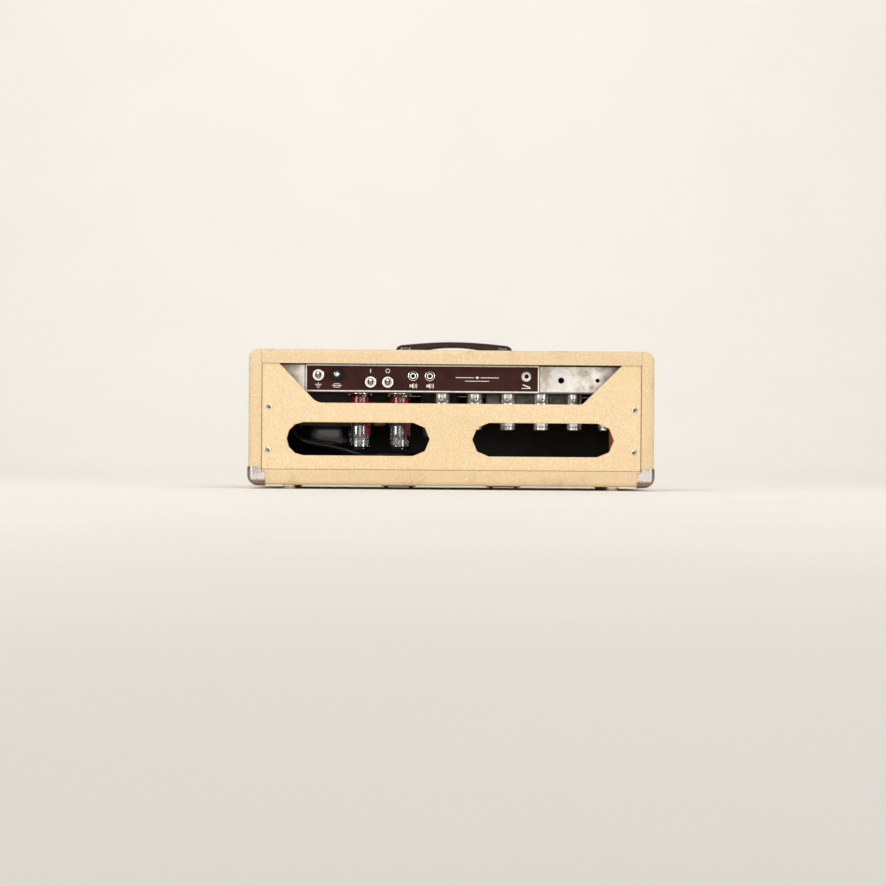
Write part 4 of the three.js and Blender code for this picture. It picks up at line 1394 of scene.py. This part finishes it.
def add_fuse():
    """The fuse holder's flange, the carrier that draws the fuse out, and the fluted cap that locks it."""
    face = PLATE_HIGH.y / MM
    low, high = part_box("fuse_holder")
    x, z = (low.x + high.x) / 2, (low.z + high.z) / 2
    flange = high.y / MM
    holder = [(4.6, 58), (7.4, 58), (7.4, face + 0.3), (9.0, face + 0.3), (9.4, face + 0.7),
              (9.4, flange - 0.8), (8.9, flange), (4.6, flange), (4.6, 58)]
    piece = turned("fuse_holder_body", holder, (x, 0, z), "black_gloss", "y", 48, slot="black_plastic")
    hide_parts("fuse_holder")
    carrier = [(0, 60), (3.4, 60), (4.1, 60.8), (4.1, 66), (3.2, 66.4), (3.2, 90), (4.1, 90.6), (4.1, flange),
               (2.3, flange), (2.3, flange + 6), (0, flange + 6)]
    rod = turned("fuse_and_carrier", carrier, (x, 0, z), "nickel", "y", 32, body="fuse_carrier",
                 slot="nickel")
    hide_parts("fuse_carrier")
    back = flange + 0.4
    flutes = 18
    shape = [(0, back + 6.2), (2.7, back + 6.2), (2.7, back), (8.1, back), (8.2, back + 0.6),
             (8.2, back + 1.4), (7.7, back + 2.0), (7.6, back + 7.6), *arc(6.4, back + 7.8, 1.2, 5, 88, 5),
             (0, back + 9)]
    work = turned_mm(shape, flutes * 4)
    for vertex in work.verts:
        reach = math.hypot(vertex.co.x, vertex.co.y)
        angle = math.atan2(vertex.co.y, vertex.co.x)
        step = round(angle / (2 * math.pi) * flutes * 4)
        if reach > 7.3 * MM and vertex.co.z > (back + 1.9) * MM and step % 4 == 0:
            shrink = (reach - 0.5 * MM) / reach
            vertex.co.x *= shrink
            vertex.co.y *= shrink
    lay_along(work, "y")
    bmesh.ops.translate(work, verts=work.verts, vec=(x, 0, z))
    cap = from_bmesh("fuse_cap_fluted", work)
    finish_piece(cap, "black_gloss", body="fuse_cap", slot="black_plastic", smooth=28)
    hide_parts("fuse_cap")
    button = [(0, back + 8.4), (3.7, back + 8.4), (3.8, back + 9.2), *arc(2.9, back + 9.2, 0.9, 0, 90, 4),
              (0, back + 10.3)]
    turned("fuse_cap_button", button, (x, 0, z), "nickel", "y", 36, body="fuse_cap", slot="nickel")


def add_jacks():
    """Two speaker jacks in notched nuts, and the vibrato pedal jack."""
    face = PLATE_HIGH.y / MM
    for node in ("speaker_jack", "extension_jack"):
        low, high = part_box(node)
        x, z = (low.x + high.x) / 2, (low.z + high.z) / 2
        sleeve = turned(node + "_sleeve", threads(3.2, 4.7, 78, high.y / MM), (x, 0, z), "nickel", "y", 40,
                        slot="nickel")
        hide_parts(node)
        washer = [(4.9, face), (6.8, face), (6.8, face + 0.5), (4.9, face + 0.5), (4.9, face)]
        turned(node + "_washer", washer, (x, 0, z), "black_gloss", "y", 32, slot="black_plastic")
        knurled(node + "_nut", (x, 0, z), 5.9, 8.0, face + 0.6, face + 2.9, 22)
        mouth = high.y / MM - 0.4
        liner = [(0, 79), (3.15, 79), (3.15, mouth), (2.8, mouth), (2.8, 84), (0, 84)]
        turned(node + "_bore", liner, (x, 0, z), "black_gloss", "y", 32, slot="black_plastic")
    x, z = PEDAL_JACK[0] * MM, PEDAL_JACK[1] * MM
    shell = [(3.9, face - 8), (5.6, face - 8), (5.6, face + 0.1), (7.6, face + 0.1), (7.6, face + 1.0),
             (4.9, face + 1.4), (4.6, face + 7.4), (3.9, face + 7.4), (3.9, face - 8)]
    turned("pedal_jack_shell", shell, (x, 0, z), "nickel", "y", 40, slot="nickel")
    core = [(1.5, face - 6), (3.8, face - 6), (3.8, face + 5.6), (1.5, face + 5.6), (1.5, face - 6)]
    turned("pedal_jack_core", core, (x, 0, z), "black_gloss", "y", 32, slot="black_plastic")


# ---------------------------------------------------------------- valves


def add_power_valves():
    """Two large valves: red base, clear bulb, grey anode, mica discs and a getter ring at the lower end."""
    for number in (1, 2):
        node = f"power_tube_{number}"
        low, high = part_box(node)
        centre = middle(node)
        x, y = centre.x, centre.y
        bottom, top = low.z / MM, high.z / MM
        base_bottom = 118.0
        shoulder = bottom + 4
        outer = [(0, bottom), (9, bottom + 0.2), (13, bottom + 0.9), (15.5, bottom + 2.5),
                 (16.7, bottom + 5), (17, bottom + 8.5), (17, base_bottom - 7), (16.4, base_bottom - 3),
                 (15.6, base_bottom + 1.5)]
        inner = [(max(r - 1.1, 0), h + (1.1 if h < shoulder else 0)) for r, h in outer]
        turned(f"valve_{number}_bulb", outer + inner[::-1], (x, y, 0), "clear_glass", segments=96,
               slot="tube_glass")
        base = [(14.6, base_bottom), (16.2, base_bottom), (16.3, base_bottom + 0.8), (16.3, top - 3),
                (15.6, top - 2.4), (15.6, top), (0, top), (0, top - 2), (14.6, top - 2), (14.6, base_bottom)]
        foot = turned(f"valve_{number}_base", base, (x, y, 0), "red_phenolic", segments=64,
                      slot="tube_glass")
        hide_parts(node)
        low_ring, high_ring = bottom + 11, bottom + 12
        getter = [(3.4, low_ring), (4.6, low_ring), (4.6, high_ring), (3.4, high_ring), (3.4, low_ring)]
        turned(f"valve_{number}_getter_ring", getter, (x, y, 0), "getter_silver", segments=40,
               slot="tube_glass")
        for side, sign in (("right", -1), ("left", 1)):
            post = [(x + sign * 4 * MM, y, (bottom + rise) * MM) for rise in (11.6, 17.2)]
            wire(f"valve_{number}_getter_post_{side}", post, 0.4 * MM, "getter_silver", slot="tube_glass")
        add_valve_inside(number, Vector((x, y, 0)), bottom, base_bottom)
        add_valve_print(number, Vector((x, y, 0)), bottom)


def add_valve_inside(number, centre, bottom, base_bottom):
    """The electrode stack between two mica discs."""
    low_disc, high_disc = bottom + 17, base_bottom - 9
    for name, height in (("low", low_disc), ("high", high_disc)):
        disc = [(0, height), (14.6, height), (14.6, height + 0.5), (0, height + 0.5)]
        turned(f"valve_{number}_mica_{name}", disc, centre, "paper_tan", segments=40, slot="tube_glass")
    corners = [(-12.5, -6.5, 6), (12.5, -6.5, 6), (12.5, 6.5, 6), (-12.5, 6.5, 6)]
    section = rounded_path(corners, 8)
    anode = plate(f"valve_{number}_anode", [section], -(high_disc - low_disc) / 2 * MM,
                  (high_disc - low_disc) / 2 * MM)
    anode.data.transform(Matrix.Rotation(math.pi / 2, 4, "X"))
    anode.data.transform(Matrix.Translation((centre.x, centre.y, (low_disc + high_disc) / 2 * MM)))
    finish_piece(anode, "anode_grey", slot="tube_glass", smooth=40)
    stem = [(0, high_disc + 0.6), (4.5, high_disc + 0.6), (7, base_bottom + 4), (0, base_bottom + 4)]
    turned(f"valve_{number}_stem", stem, centre, "grey_metal", segments=32, slot="tube_glass")


def add_valve_print(number, centre, bottom):
    """A plain printed pattern of frames and bars on the side of the bulb, in faded red, with no lettering."""
    radius = 17.06 * MM
    patches = [(112, 115, 20, 38), (165, 168, 24, 40), (112, 144, 38, 39.2), (134, 168, 40, 41.2)]
    patches += [(120 + 9.5 * k, 123 + 9.5 * k, 21 + 2 * (k % 3), 33 + 2.5 * (k % 2)) for k in range(5)]
    patches += [(120, 142, 29, 30.2), (139, 161, 25.6, 26.8)]
    bands = []
    for k, (start, end, low, high) in enumerate(patches):
        work = bmesh.new()
        steps = max(2, round((end - start) / 4))
        rings = []
        for height in (bottom + low, bottom + high):
            for reach in (radius, radius + 0.05 * MM):
                ring = []
                for i in range(steps + 1):
                    angle = math.radians(start + (end - start) * i / steps)
                    x, y = centre.x + reach * math.cos(angle), centre.y + reach * math.sin(angle)
                    ring.append(work.verts.new((x, y, height * MM)))
                rings.append(ring)
        order = (0, 1, 3, 2)
        for a, b in zip(order, order[1:] + order[:1]):
            for i in range(steps):
                work.faces.new((rings[a][i], rings[a][i + 1], rings[b][i + 1], rings[b][i]))
        for i in (0, steps):
            work.faces.new([rings[r][i] for r in order])
        bmesh.ops.recalc_face_normals(work, faces=work.faces)
        bands.append(from_bmesh(f"valve_{number}_print_{k}", work))
    finish_piece(joined(f"valve_{number}_print", bands), "faded_print", slot="tube_glass", smooth=0)


def add_valve_sockets():
    """Pressed socket flanges with two ears, two screws and a sprung wire bail over the valve's base."""
    for number in (1, 2):
        node = f"tube_socket_{number}"
        low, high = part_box(node)
        centre = middle(node)
        x, y = centre.x, centre.y
        bottom, top = low.z / MM, high.z / MM
        profile = [(0, bottom), (13.4, bottom), (14, bottom + 0.6), (14.6, top - 2.6), (15.6, top - 1.7),
                   (18.4, top - 1.5), (19, top - 0.9), (19, top), (0, top)]
        flange = turned(f"valve_socket_{number}", profile, (x, y, 0), "nickel", segments=56, slot="nickel")
        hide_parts(node)
        for sign in (-1, 1):
            spot = Vector((x + sign * 16.6 * MM, y, (top - 1.5) * MM))
            screw_head(f"socket_{number}_screw_{'left' if sign > 0 else 'right'}", spot, 2.3 * MM, 1.2 * MM,
                       Vector((0, 0, -1)), slot="nickel")
        reach = 17.5 * MM
        bail = []
        for k in range(31):
            t = k / 30
            angle = math.radians(58 + 124 * t)
            height = (146.4 - 19.5 * min(1, t / 0.4) - 2.5 * max(0, t - 0.4)) * MM
            bail.append((x - reach * math.cos(angle), y + reach * math.sin(angle), height))
        wire(f"valve_bail_{number}", bail, 0.75 * MM, "nickel", slot="nickel")


def add_screening_cans():
    """Drawn aluminium cans with a rolled lip, a beaded waist and a small dark hole, and the valve inside."""
    for number in range(1, 7):
        node = f"tube_shield_{number}"
        low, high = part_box(node)
        centre = middle(node)
        bottom, top = low.z / MM, high.z / MM
        outside = [(9.6, bottom + 0.9), (9.3, bottom + 0.3), (9.8, bottom), (11, bottom + 0.1),
                   *arc(10.9, bottom + 1.7, 1.6, -80, 0, 5), (12.5, bottom + 6), (12.3, bottom + 6.8),
                   (12.5, bottom + 7.6), (12.5, top - 16), (12.1, top - 15), (12.1, top - 13.6),
                   (12.5, top - 12.6), (12.5, top)]
        inside = [(11.7, top), (11.7, bottom + 3), (10.6, bottom + 1.2), (9.6, bottom + 0.9)]
        can = turned(f"screening_can_{number}", outside + inside, (centre.x, centre.y, 0), "aluminium",
                     segments=56, slot="aluminium", smooth=0)
        hole = Vector((centre.x + (1.5 if number % 2 else -2.0) * MM, centre.y + 12.5 * MM, (top - 7.5) * MM))
        cut(can, [plain_rod("can_hole", 1.6 * MM, 6 * MM, hole, "y")])
        finish_piece(can, "aluminium", slot="aluminium", smooth=35)
        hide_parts(node)
        glass = [(0, bottom + 4), (1.2, bottom + 4.1), (2.0, bottom + 6.2), (5.5, bottom + 7.4),
                 *arc(6.6, bottom + 10.4, 2.8, -70, 0, 4), (9.4, top - 3), (0, top - 3)]
        turned(f"small_valve_{number}", glass, (centre.x, centre.y, 0), "getter_silver", segments=32,
               slot="tube_glass")


# ---------------------------------------------------------------- transformers


def add_transformer(node, cover, core, bell_inset, core_height, bolts):
    """A bell cover with rounded edges under a stack of laminations, held by through bolts."""
    low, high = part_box(node)
    bell_high = high.z - core_height
    middle_x, middle_y = (low.x + high.x) / 2, (low.y + high.y) / 2
    half_x, half_y = (high.x - low.x) / 2 - bell_inset, (high.y - low.y) / 2 - bell_inset
    tall = bell_high + 1 * MM - low.z
    bend = 5 * MM
    turns = [math.pi / 12 * k for k in range(6)]
    rows = [(bend * (1 - math.cos(a)), bend * (1 - math.sin(a))) for a in turns]
    rows += [(bend + (tall - bend) * k / 8, 0) for k in range(9)]
    sides = 112
    vertices = []
    for rise, inset in rows:
        inset += 0.9 * MM * (2 * rise / tall - 1) ** 2
        for k in range(sides):
            angle = 2 * math.pi * (k + 0.5) / sides
            c, s = math.cos(angle), math.sin(angle)
            across = math.copysign(abs(c) ** 0.5, c) * (half_x - inset)
            along = math.copysign(abs(s) ** 0.5, s) * (half_y - inset)
            vertices.append((middle_x + across, middle_y + along, low.z + rise))
    bell = finish_piece(lofted(node + "_bell", vertices, sides), cover, slot="black_steel", smooth=40)
    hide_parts(node)
    rim_low = (low.x + bell_inset / 3, low.y + bell_inset / 3, bell_high - 1.2 * MM)
    rim_high = (high.x - bell_inset / 3, high.y - bell_inset / 3, bell_high)
    bevelled_box(node + "_flange", rim_low, rim_high, cover, 0.5 * MM, slot="black_steel")
    count = max(6, int(core_height / (1.4 * MM)))
    step = (high.z - bell_high) / count
    sheets = []
    for k in range(count):
        inset = 0.0 if k % 2 == 0 else 0.35 * MM
        sheet_low = (low.x + inset, low.y + inset, bell_high + step * k)
        sheet_high = (high.x - inset, high.y - inset, bell_high + step * (k + 1))
        sheets.append(bevelled_box(f"{node}_sheet_{k}", sheet_low, sheet_high, core, 0.15 * MM, 1))
    stack = joined(node + "_laminations", sheets)
    for k in range(bolts):
        sign_x, sign_y = ((-1, -1), (1, -1), (1, 1), (-1, 1))[k]
        spot = Vector((middle_x + sign_x * (half_x - 2.5 * MM), middle_y + sign_y * (half_y - 2.5 * MM),
                       bell_high - 1.2 * MM))
        screw_head(f"{node}_bolt_{k + 1}", spot, 3.2 * MM, 2.2 * MM, Vector((0, 0, -1)), cover,
                   slot="black_steel")


def add_transformers():
    """Mains transformer, output transformer, choke, and the pan over the filter capacitors."""
    add_transformer("power_transformer", "black_paint", "laminations", 2 * MM, 50 * MM, 4)
    add_transformer("output_transformer", "grey_metal", "laminations", 3 * MM, 18 * MM, 4)
    add_transformer("choke", "paper_tan", "laminations", 3 * MM, 12 * MM, 0)
    low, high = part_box("filter_capacitor_cover")
    pan = bevelled_box("capacitor_pan", low, (high.x, high.y, high.z - 1 * MM), "grey_metal", 5 * MM, 4,
                       slot="chassis_steel")
    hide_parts("filter_capacitor_cover")
    bevelled_box("capacitor_pan_rim", (low.x, low.y, high.z - 2.5 * MM), high, "grey_metal", 0.5 * MM,
                 slot="chassis_steel")


# ---------------------------------------------------------------- front


def panel_matrix():
    """From the control panel's own frame (X along it, Y up its slope, Z out of it) to the row frame."""
    origin = Vector((0, -99 * MM, CHASSIS_LOW.z))
    return Matrix.Translation(origin) @ Matrix.Rotation(math.pi / 2 - FRONT_TILT, 4, "X")


PLATE_FACE = 1.5  # millimetres from the chassis to the front plate's face
SLOPE = (CHASSIS_HIGH.z - CHASSIS_LOW.z) / MM / math.cos(FRONT_TILT)


def on_panel(obj, x=0.0, up=0.0, out=0.0, turn=0.0):
    """Moves a mesh made about its own origin onto the control panel."""
    local = Matrix.Translation((x * MM, up * MM, out * MM)) @ Matrix.Rotation(turn, 4, "Z")
    obj.data.transform(panel_matrix() @ local)
    return obj


def add_knobs():
    """Cream fluted knobs on a numbered skirt."""
    for node in (n for n in sorted(NODES) if n.startswith("knob_")):
        low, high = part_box(node)
        x = (low.x + high.x) / 2 / MM
        flutes = 24
        profile = [(0, 0), (12.6, 0), (13, 0.4), (13, 2.2), (12.7, 2.6), (9.8, 3.9), (9.3, 4.4), (8.6, 5.0),
                   (8.3, 13.6), *arc(7.2, 13.9, 1.1, 0, 90, 4), (0, 15)]
        work = turned_mm(profile, flutes * 4)
        for vertex in work.verts:
            reach = math.hypot(vertex.co.x, vertex.co.y)
            step = round(math.atan2(vertex.co.y, vertex.co.x) / (2 * math.pi) * flutes * 4)
            if 4.9 * MM < vertex.co.z < 14.5 * MM and 7.9 * MM < reach < 9 * MM and step % 4 == 0:
                vertex.co.x *= 0.955
                vertex.co.y *= 0.955
        knob = from_bmesh(node + "_turned", work)
        on_panel(knob, x, SLOPE / 2, PLATE_FACE + 0.5)
        finish_piece(knob, "cream_plastic", body=node, slot="knob", smooth=26)
        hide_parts(node)
        add_numerals(node, x)


def add_numerals(node, x):
    """The numbers 1 to 10 round a knob's skirt, leaning back with its slope."""
    lean = Matrix.Rotation(-math.atan2(1.3, 2.9), 4, "X")
    onto_skirt = Matrix.Translation((0, 11.25 * MM, 3.3 * MM))
    digits = []
    for number in range(1, 11):
        angle = math.radians(255 - 30 * number)
        curve = bpy.data.curves.new("numeral", "FONT")
        curve.body = str(number)
        curve.size = 2.5 * MM
        curve.extrude = 0.04 * MM
        curve.align_x = "CENTER"
        curve.align_y = "CENTER"
        curve.resolution_u = 2
        source = bpy.data.objects.new("numeral", curve)
        bpy.context.scene.collection.objects.link(source)
        bpy.context.view_layer.update()
        mesh = bpy.data.meshes.new_from_object(source.evaluated_get(bpy.context.evaluated_depsgraph_get()))
        bpy.data.objects.remove(source)
        mesh.transform(Matrix.Rotation(angle - math.pi / 2, 4, "Z") @ onto_skirt @ lean)
        digit = bpy.data.objects.new(f"{node}_numeral_{number}", mesh)
        bpy.context.scene.collection.objects.link(digit)
        digits.append(digit)
    ring = joined(node + "_numerals", digits)
    on_panel(ring, x, SLOPE / 2, PLATE_FACE + 0.5)
    finish_piece(ring, "black_gloss", body=node, slot="knob", smooth=0)


def add_front():
    """The control panel with what stands on it, and the baffle with its cloth."""
    replace_materials("front_faceplate", "enamel")
    replace_materials("chassis", "chassis_steel")
    replace_materials("grille_baffle", "painted_board")
    low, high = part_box("front_faceplate")
    left, right = low.x / MM, high.x / MM
    bottom, top = 1.5, SLOPE - 1.5
    outer = rounded_path([(left, bottom, 1.5), (right, bottom, 1.5), (right, top, 1.5), (left, top, 1.5)], 4)
    inner = rounded_path([(left + 2, bottom + 2, 1), (right - 2, bottom + 2, 1), (right - 2, top - 2, 1),
                          (left + 2, top - 2, 1)], 4)
    trim = plate("front_plate_border", [outer, inner], 0, 0.2 * MM, 0.08 * MM, 2)
    trim.data.transform(Matrix.Rotation(-math.pi / 2, 4, "X"))
    trim.data.transform(Matrix.Diagonal((1, 1, -1, 1)))
    on_panel(trim, out=PLATE_FACE)
    finish_piece(trim, "plate_print", slot="faceplate", smooth=40)
    recalc(trim)
    add_knobs()
    add_input_jacks()
    add_pilot_lamp()
    add_grille_cloth()


def add_input_jacks():
    """Four input jacks in hexagonal nuts."""
    nut = ((5, 0), (7.6, 0), (7.6, 1.6), (6.6, 2.4), (5, 2.4), (5, 0))
    bore = ((0, 0), (3.1, 0), (3.1, 0.6), (0, 0.6))
    parts = (
        ("input_jack", threads(3.2, 4.9, 0, 4.6), 40, "nickel", "nickel", 30),
        ("input_jack_nut", nut, 6, "nickel", "nickel", 20),
        ("input_jack_bore", bore, 24, "black_gloss", "black_plastic", 30),
    )
    for number, x in enumerate((-240, -214, -70, -44), 1):
        for name, profile, segments, finish, slot, smooth in parts:
            piece = from_bmesh(f"{name}_{number}", turned_mm(profile, segments))
            on_panel(piece, x, SLOPE / 2, PLATE_FACE, 0.2 * number if name == "input_jack_nut" else 0.0)
            finish_piece(piece, finish, slot=slot, smooth=smooth)


def add_pilot_lamp():
    """A faceted red jewel in a nickel bezel."""
    x = middle("pilot_lamp").x / MM
    ring = ((7.2, 0.3), (9.5, 0.3), (9.5, 1.2), (8.9, 2.2), (7.6, 2.6), (7.2, 2.2), (7.2, 0.3))
    bezel = from_bmesh("pilot_bezel", turned_mm(ring, 48))
    on_panel(bezel, x, SLOPE / 2, PLATE_FACE)
    finish_piece(bezel, "nickel", slot="nickel")
    facets = ((0, 0.3), (7.1, 0.3), (7.1, 3.2), (6.1, 6.0), (3.8, 8.3), (0, 9.3))
    jewel = from_bmesh("pilot_jewel", turned_mm(facets, 12))
    on_panel(jewel, x, SLOPE / 2, PLATE_FACE)
    finish_piece(jewel, "red_jewel", slot="jewel", smooth=0)
    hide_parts("pilot_lamp")


def add_grille_cloth():
    """The cloth stretched over the baffle: a fine grid, drawn tight, its edges turned back."""
    low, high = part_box("grille_cloth")
    columns, rows = 150, 34
    thick = 0.7 * MM
    work = bmesh.new()
    layers = []
    for layer in (0, 1):
        grid = []
        for r in range(rows + 1):
            line = []
            for c in range(columns + 1):
                u, v = c / columns, r / rows
                x = low.x + 0.4 * MM + (high.x - low.x - 0.8 * MM) * u
                z = low.z + 0.4 * MM + (high.z - low.z - 0.8 * MM) * v
                edge = min(u * (high.x - low.x), (1 - u) * (high.x - low.x), v * (high.z - low.z),
                           (1 - v) * (high.z - low.z))
                roll = 1.0 * MM * max(0, 1 - edge / (3 * MM)) ** 2
                pull = 0.22 * MM * math.sin(u * 61) * max(0, 1 - edge / (14 * MM))
                y = low.y + 0.1 * MM + roll + abs(pull) + thick * layer
                line.append(work.verts.new((x, y, z)))
            grid.append(line)
        layers.append(grid)
    for layer, grid in enumerate(layers):
        for r in range(rows):
            for c in range(columns):
                corners = (grid[r][c], grid[r][c + 1], grid[r + 1][c + 1], grid[r + 1][c])
                work.faces.new(corners if layer == 0 else corners[::-1])
    front, back = layers
    rim = [(0, c) for c in range(columns)] + [(r, columns) for r in range(rows)]
    rim += [(rows, c) for c in range(columns, 0, -1)] + [(r, 0) for r in range(rows, 0, -1)]
    for (r0, c0), (r1, c1) in zip(rim, rim[1:] + rim[:1]):
        work.faces.new((front[r0][c0], back[r0][c0], back[r1][c1], front[r1][c1]))
    bmesh.ops.recalc_face_normals(work, faces=work.faces)
    cloth = from_bmesh("grille_cloth_woven", work)
    finish_piece(cloth, "oxblood_cloth", slot="grille_cloth", smooth=50)
    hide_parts("grille_cloth")


# ---------------------------------------------------------------- underside and stage


def add_underside():
    """Steel fixing plates for the locks on top of a speaker cabinet."""
    for name, x in (("left", 80), ("right", -80)):
        for end, y in (("rear", 84), ("front", -84)):
            low_corner = ((x - 26) * MM, (y - 9) * MM, UNDERSIDE - 1.8 * MM)
            high_corner = ((x + 26) * MM, (y + 9) * MM, UNDERSIDE - 0.05 * MM)
            bevelled_box(f"dock_plate_{end}_{name}", low_corner, high_corner, "black_paint", 0.5 * MM,
                         slot="black_steel")
            for k in (-1, 1):
                spot = Vector(((x + k * 19) * MM, y * MM, UNDERSIDE - 1.8 * MM))
                screw_head(f"dock_screw_{end}_{name}_{'a' if k < 0 else 'b'}", spot, 3.4 * MM, 1.6 * MM,
                           Vector((0, 0, -1)), "black_gloss", slot="black_steel")


def add_chassis_bolts():
    """Four oval bolt heads in the top board, which hang the chassis."""
    for x in (-275, 275):
        for y in (-62, 62):
            spot = Vector((x * MM, y * MM, TOP_HIGH.z))
            ring = [(2.2, 0), (7.4, 0), (7.2, 0.7), (5.6, 1.6), (4.2, 1.7), (2.2, 0.9), (2.2, 0)]
            side = ("right" if x < 0 else "left") + ("_front" if y < 0 else "_rear")
            turned("chassis_bolt_cup_" + side, ring, spot, "nickel", "z", 36, slot="nickel")
            screw_head("chassis_bolt_" + side, spot + Vector((0, 0, 0.8 * MM)), 4.4 * MM, 2.0 * MM,
                       Vector((0, 0, 1)), slot_turn=0.01 * x, slot="nickel")


def add_chassis_flanges():
    """A turned-in flange welded along each end of the chassis, which its bolts pull up."""
    for name, sign in (("left", 1), ("right", -1)):
        xs = sorted((sign * (CHASSIS_HIGH.x - 1.6 * MM), sign * (CHASSIS_HIGH.x - 24 * MM)))
        low_corner = (xs[0], -78 * MM, CHASSIS_HIGH.z - 1.5 * MM)
        high_corner = (xs[1], CHASSIS_HIGH.y - 3 * MM, CHASSIS_HIGH.z)
        bevelled_box("chassis_flange_" + name, low_corner, high_corner, "chassis_steel", 0.4 * MM,
                     slot="chassis_steel")


def add_stage():
    """A pale sweep, and large soft lights above and beside the camera."""
    size = 6.0
    rows = [(3.4, 0), (-1.2, 0)]
    for k in range(1, 13):
        angle = math.pi / 2 * k / 12
        rows.append((-1.2 - 1.6 * math.sin(angle), 1.6 * (1 - math.cos(angle))))
    rows.append((-2.8, 5.5))
    vertices = [(x, y, z) for y, z in rows for x in (-size, size)]
    faces = [(2 * k, 2 * k + 1, 2 * k + 3, 2 * k + 2) for k in range(len(rows) - 1)]
    sweep = from_faces("studio_sweep", vertices, faces)
    sweep.data.materials.append(FINISH["studio_floor"])
    sweep.data.shade_smooth()

    world = bpy.data.worlds.new("studio")
    bpy.context.scene.world = world
    world.use_nodes = True
    world.node_tree.nodes["Background"].inputs["Color"].default_value = (1, 0.985, 0.965, 1)
    world.node_tree.nodes["Background"].inputs["Strength"].default_value = 0.36

    def area(name, place, aim, width, height, power, color=(1, 0.98, 0.95)):
        data = bpy.data.lights.new(name, "AREA")
        data.shape = "RECTANGLE"
        data.size = width
        data.size_y = height
        data.energy = power
        data.color = color
        lamp = bpy.data.objects.new(name, data)
        lamp.location = place
        lamp.rotation_euler = (Vector(aim) - Vector(place)).to_track_quat("-Z", "Y").to_euler()
        bpy.context.scene.collection.objects.link(lamp)

    area("softbox_left", (2.2, 2.5, 0.95), (0, 0, 0.3), 1.0, 1.7, 41)
    area("softbox_right", (-2.2, 2.5, 0.95), (0, 0, 0.3), 1.0, 1.7, 38)
    area("fill_behind_camera", (-0.15, 4.4, 0.5), (0, 0, 0.2), 1.6, 0.9, 8)
    area("top_soft", (0, 0.5, 2.6), (0, 0, 0), 2.4, 1.6, 26)
    area("backdrop_left", (1.5, -0.5, 2.5), (0.25, -2.8, 1.3), 1.4, 1.4, 17, (1, 0.99, 0.98))
    area("backdrop_right", (-1.5, -0.5, 2.5), (-0.2, -2.8, 1.3), 1.4, 1.4, 15, (1, 0.99, 0.98))
    bpy.context.scene.view_settings.view_transform = "Standard"


add_camera()
add_cord()
add_cabinet()
add_back_panel()
add_corners()
add_glides()
add_handle()
add_rear_plate()
add_switches()
add_fuse()
add_jacks()
add_power_valves()
add_valve_sockets()
add_screening_cans()
add_transformers()
add_front()
add_underside()
add_chassis_bolts()
add_chassis_flanges()
add_stage()
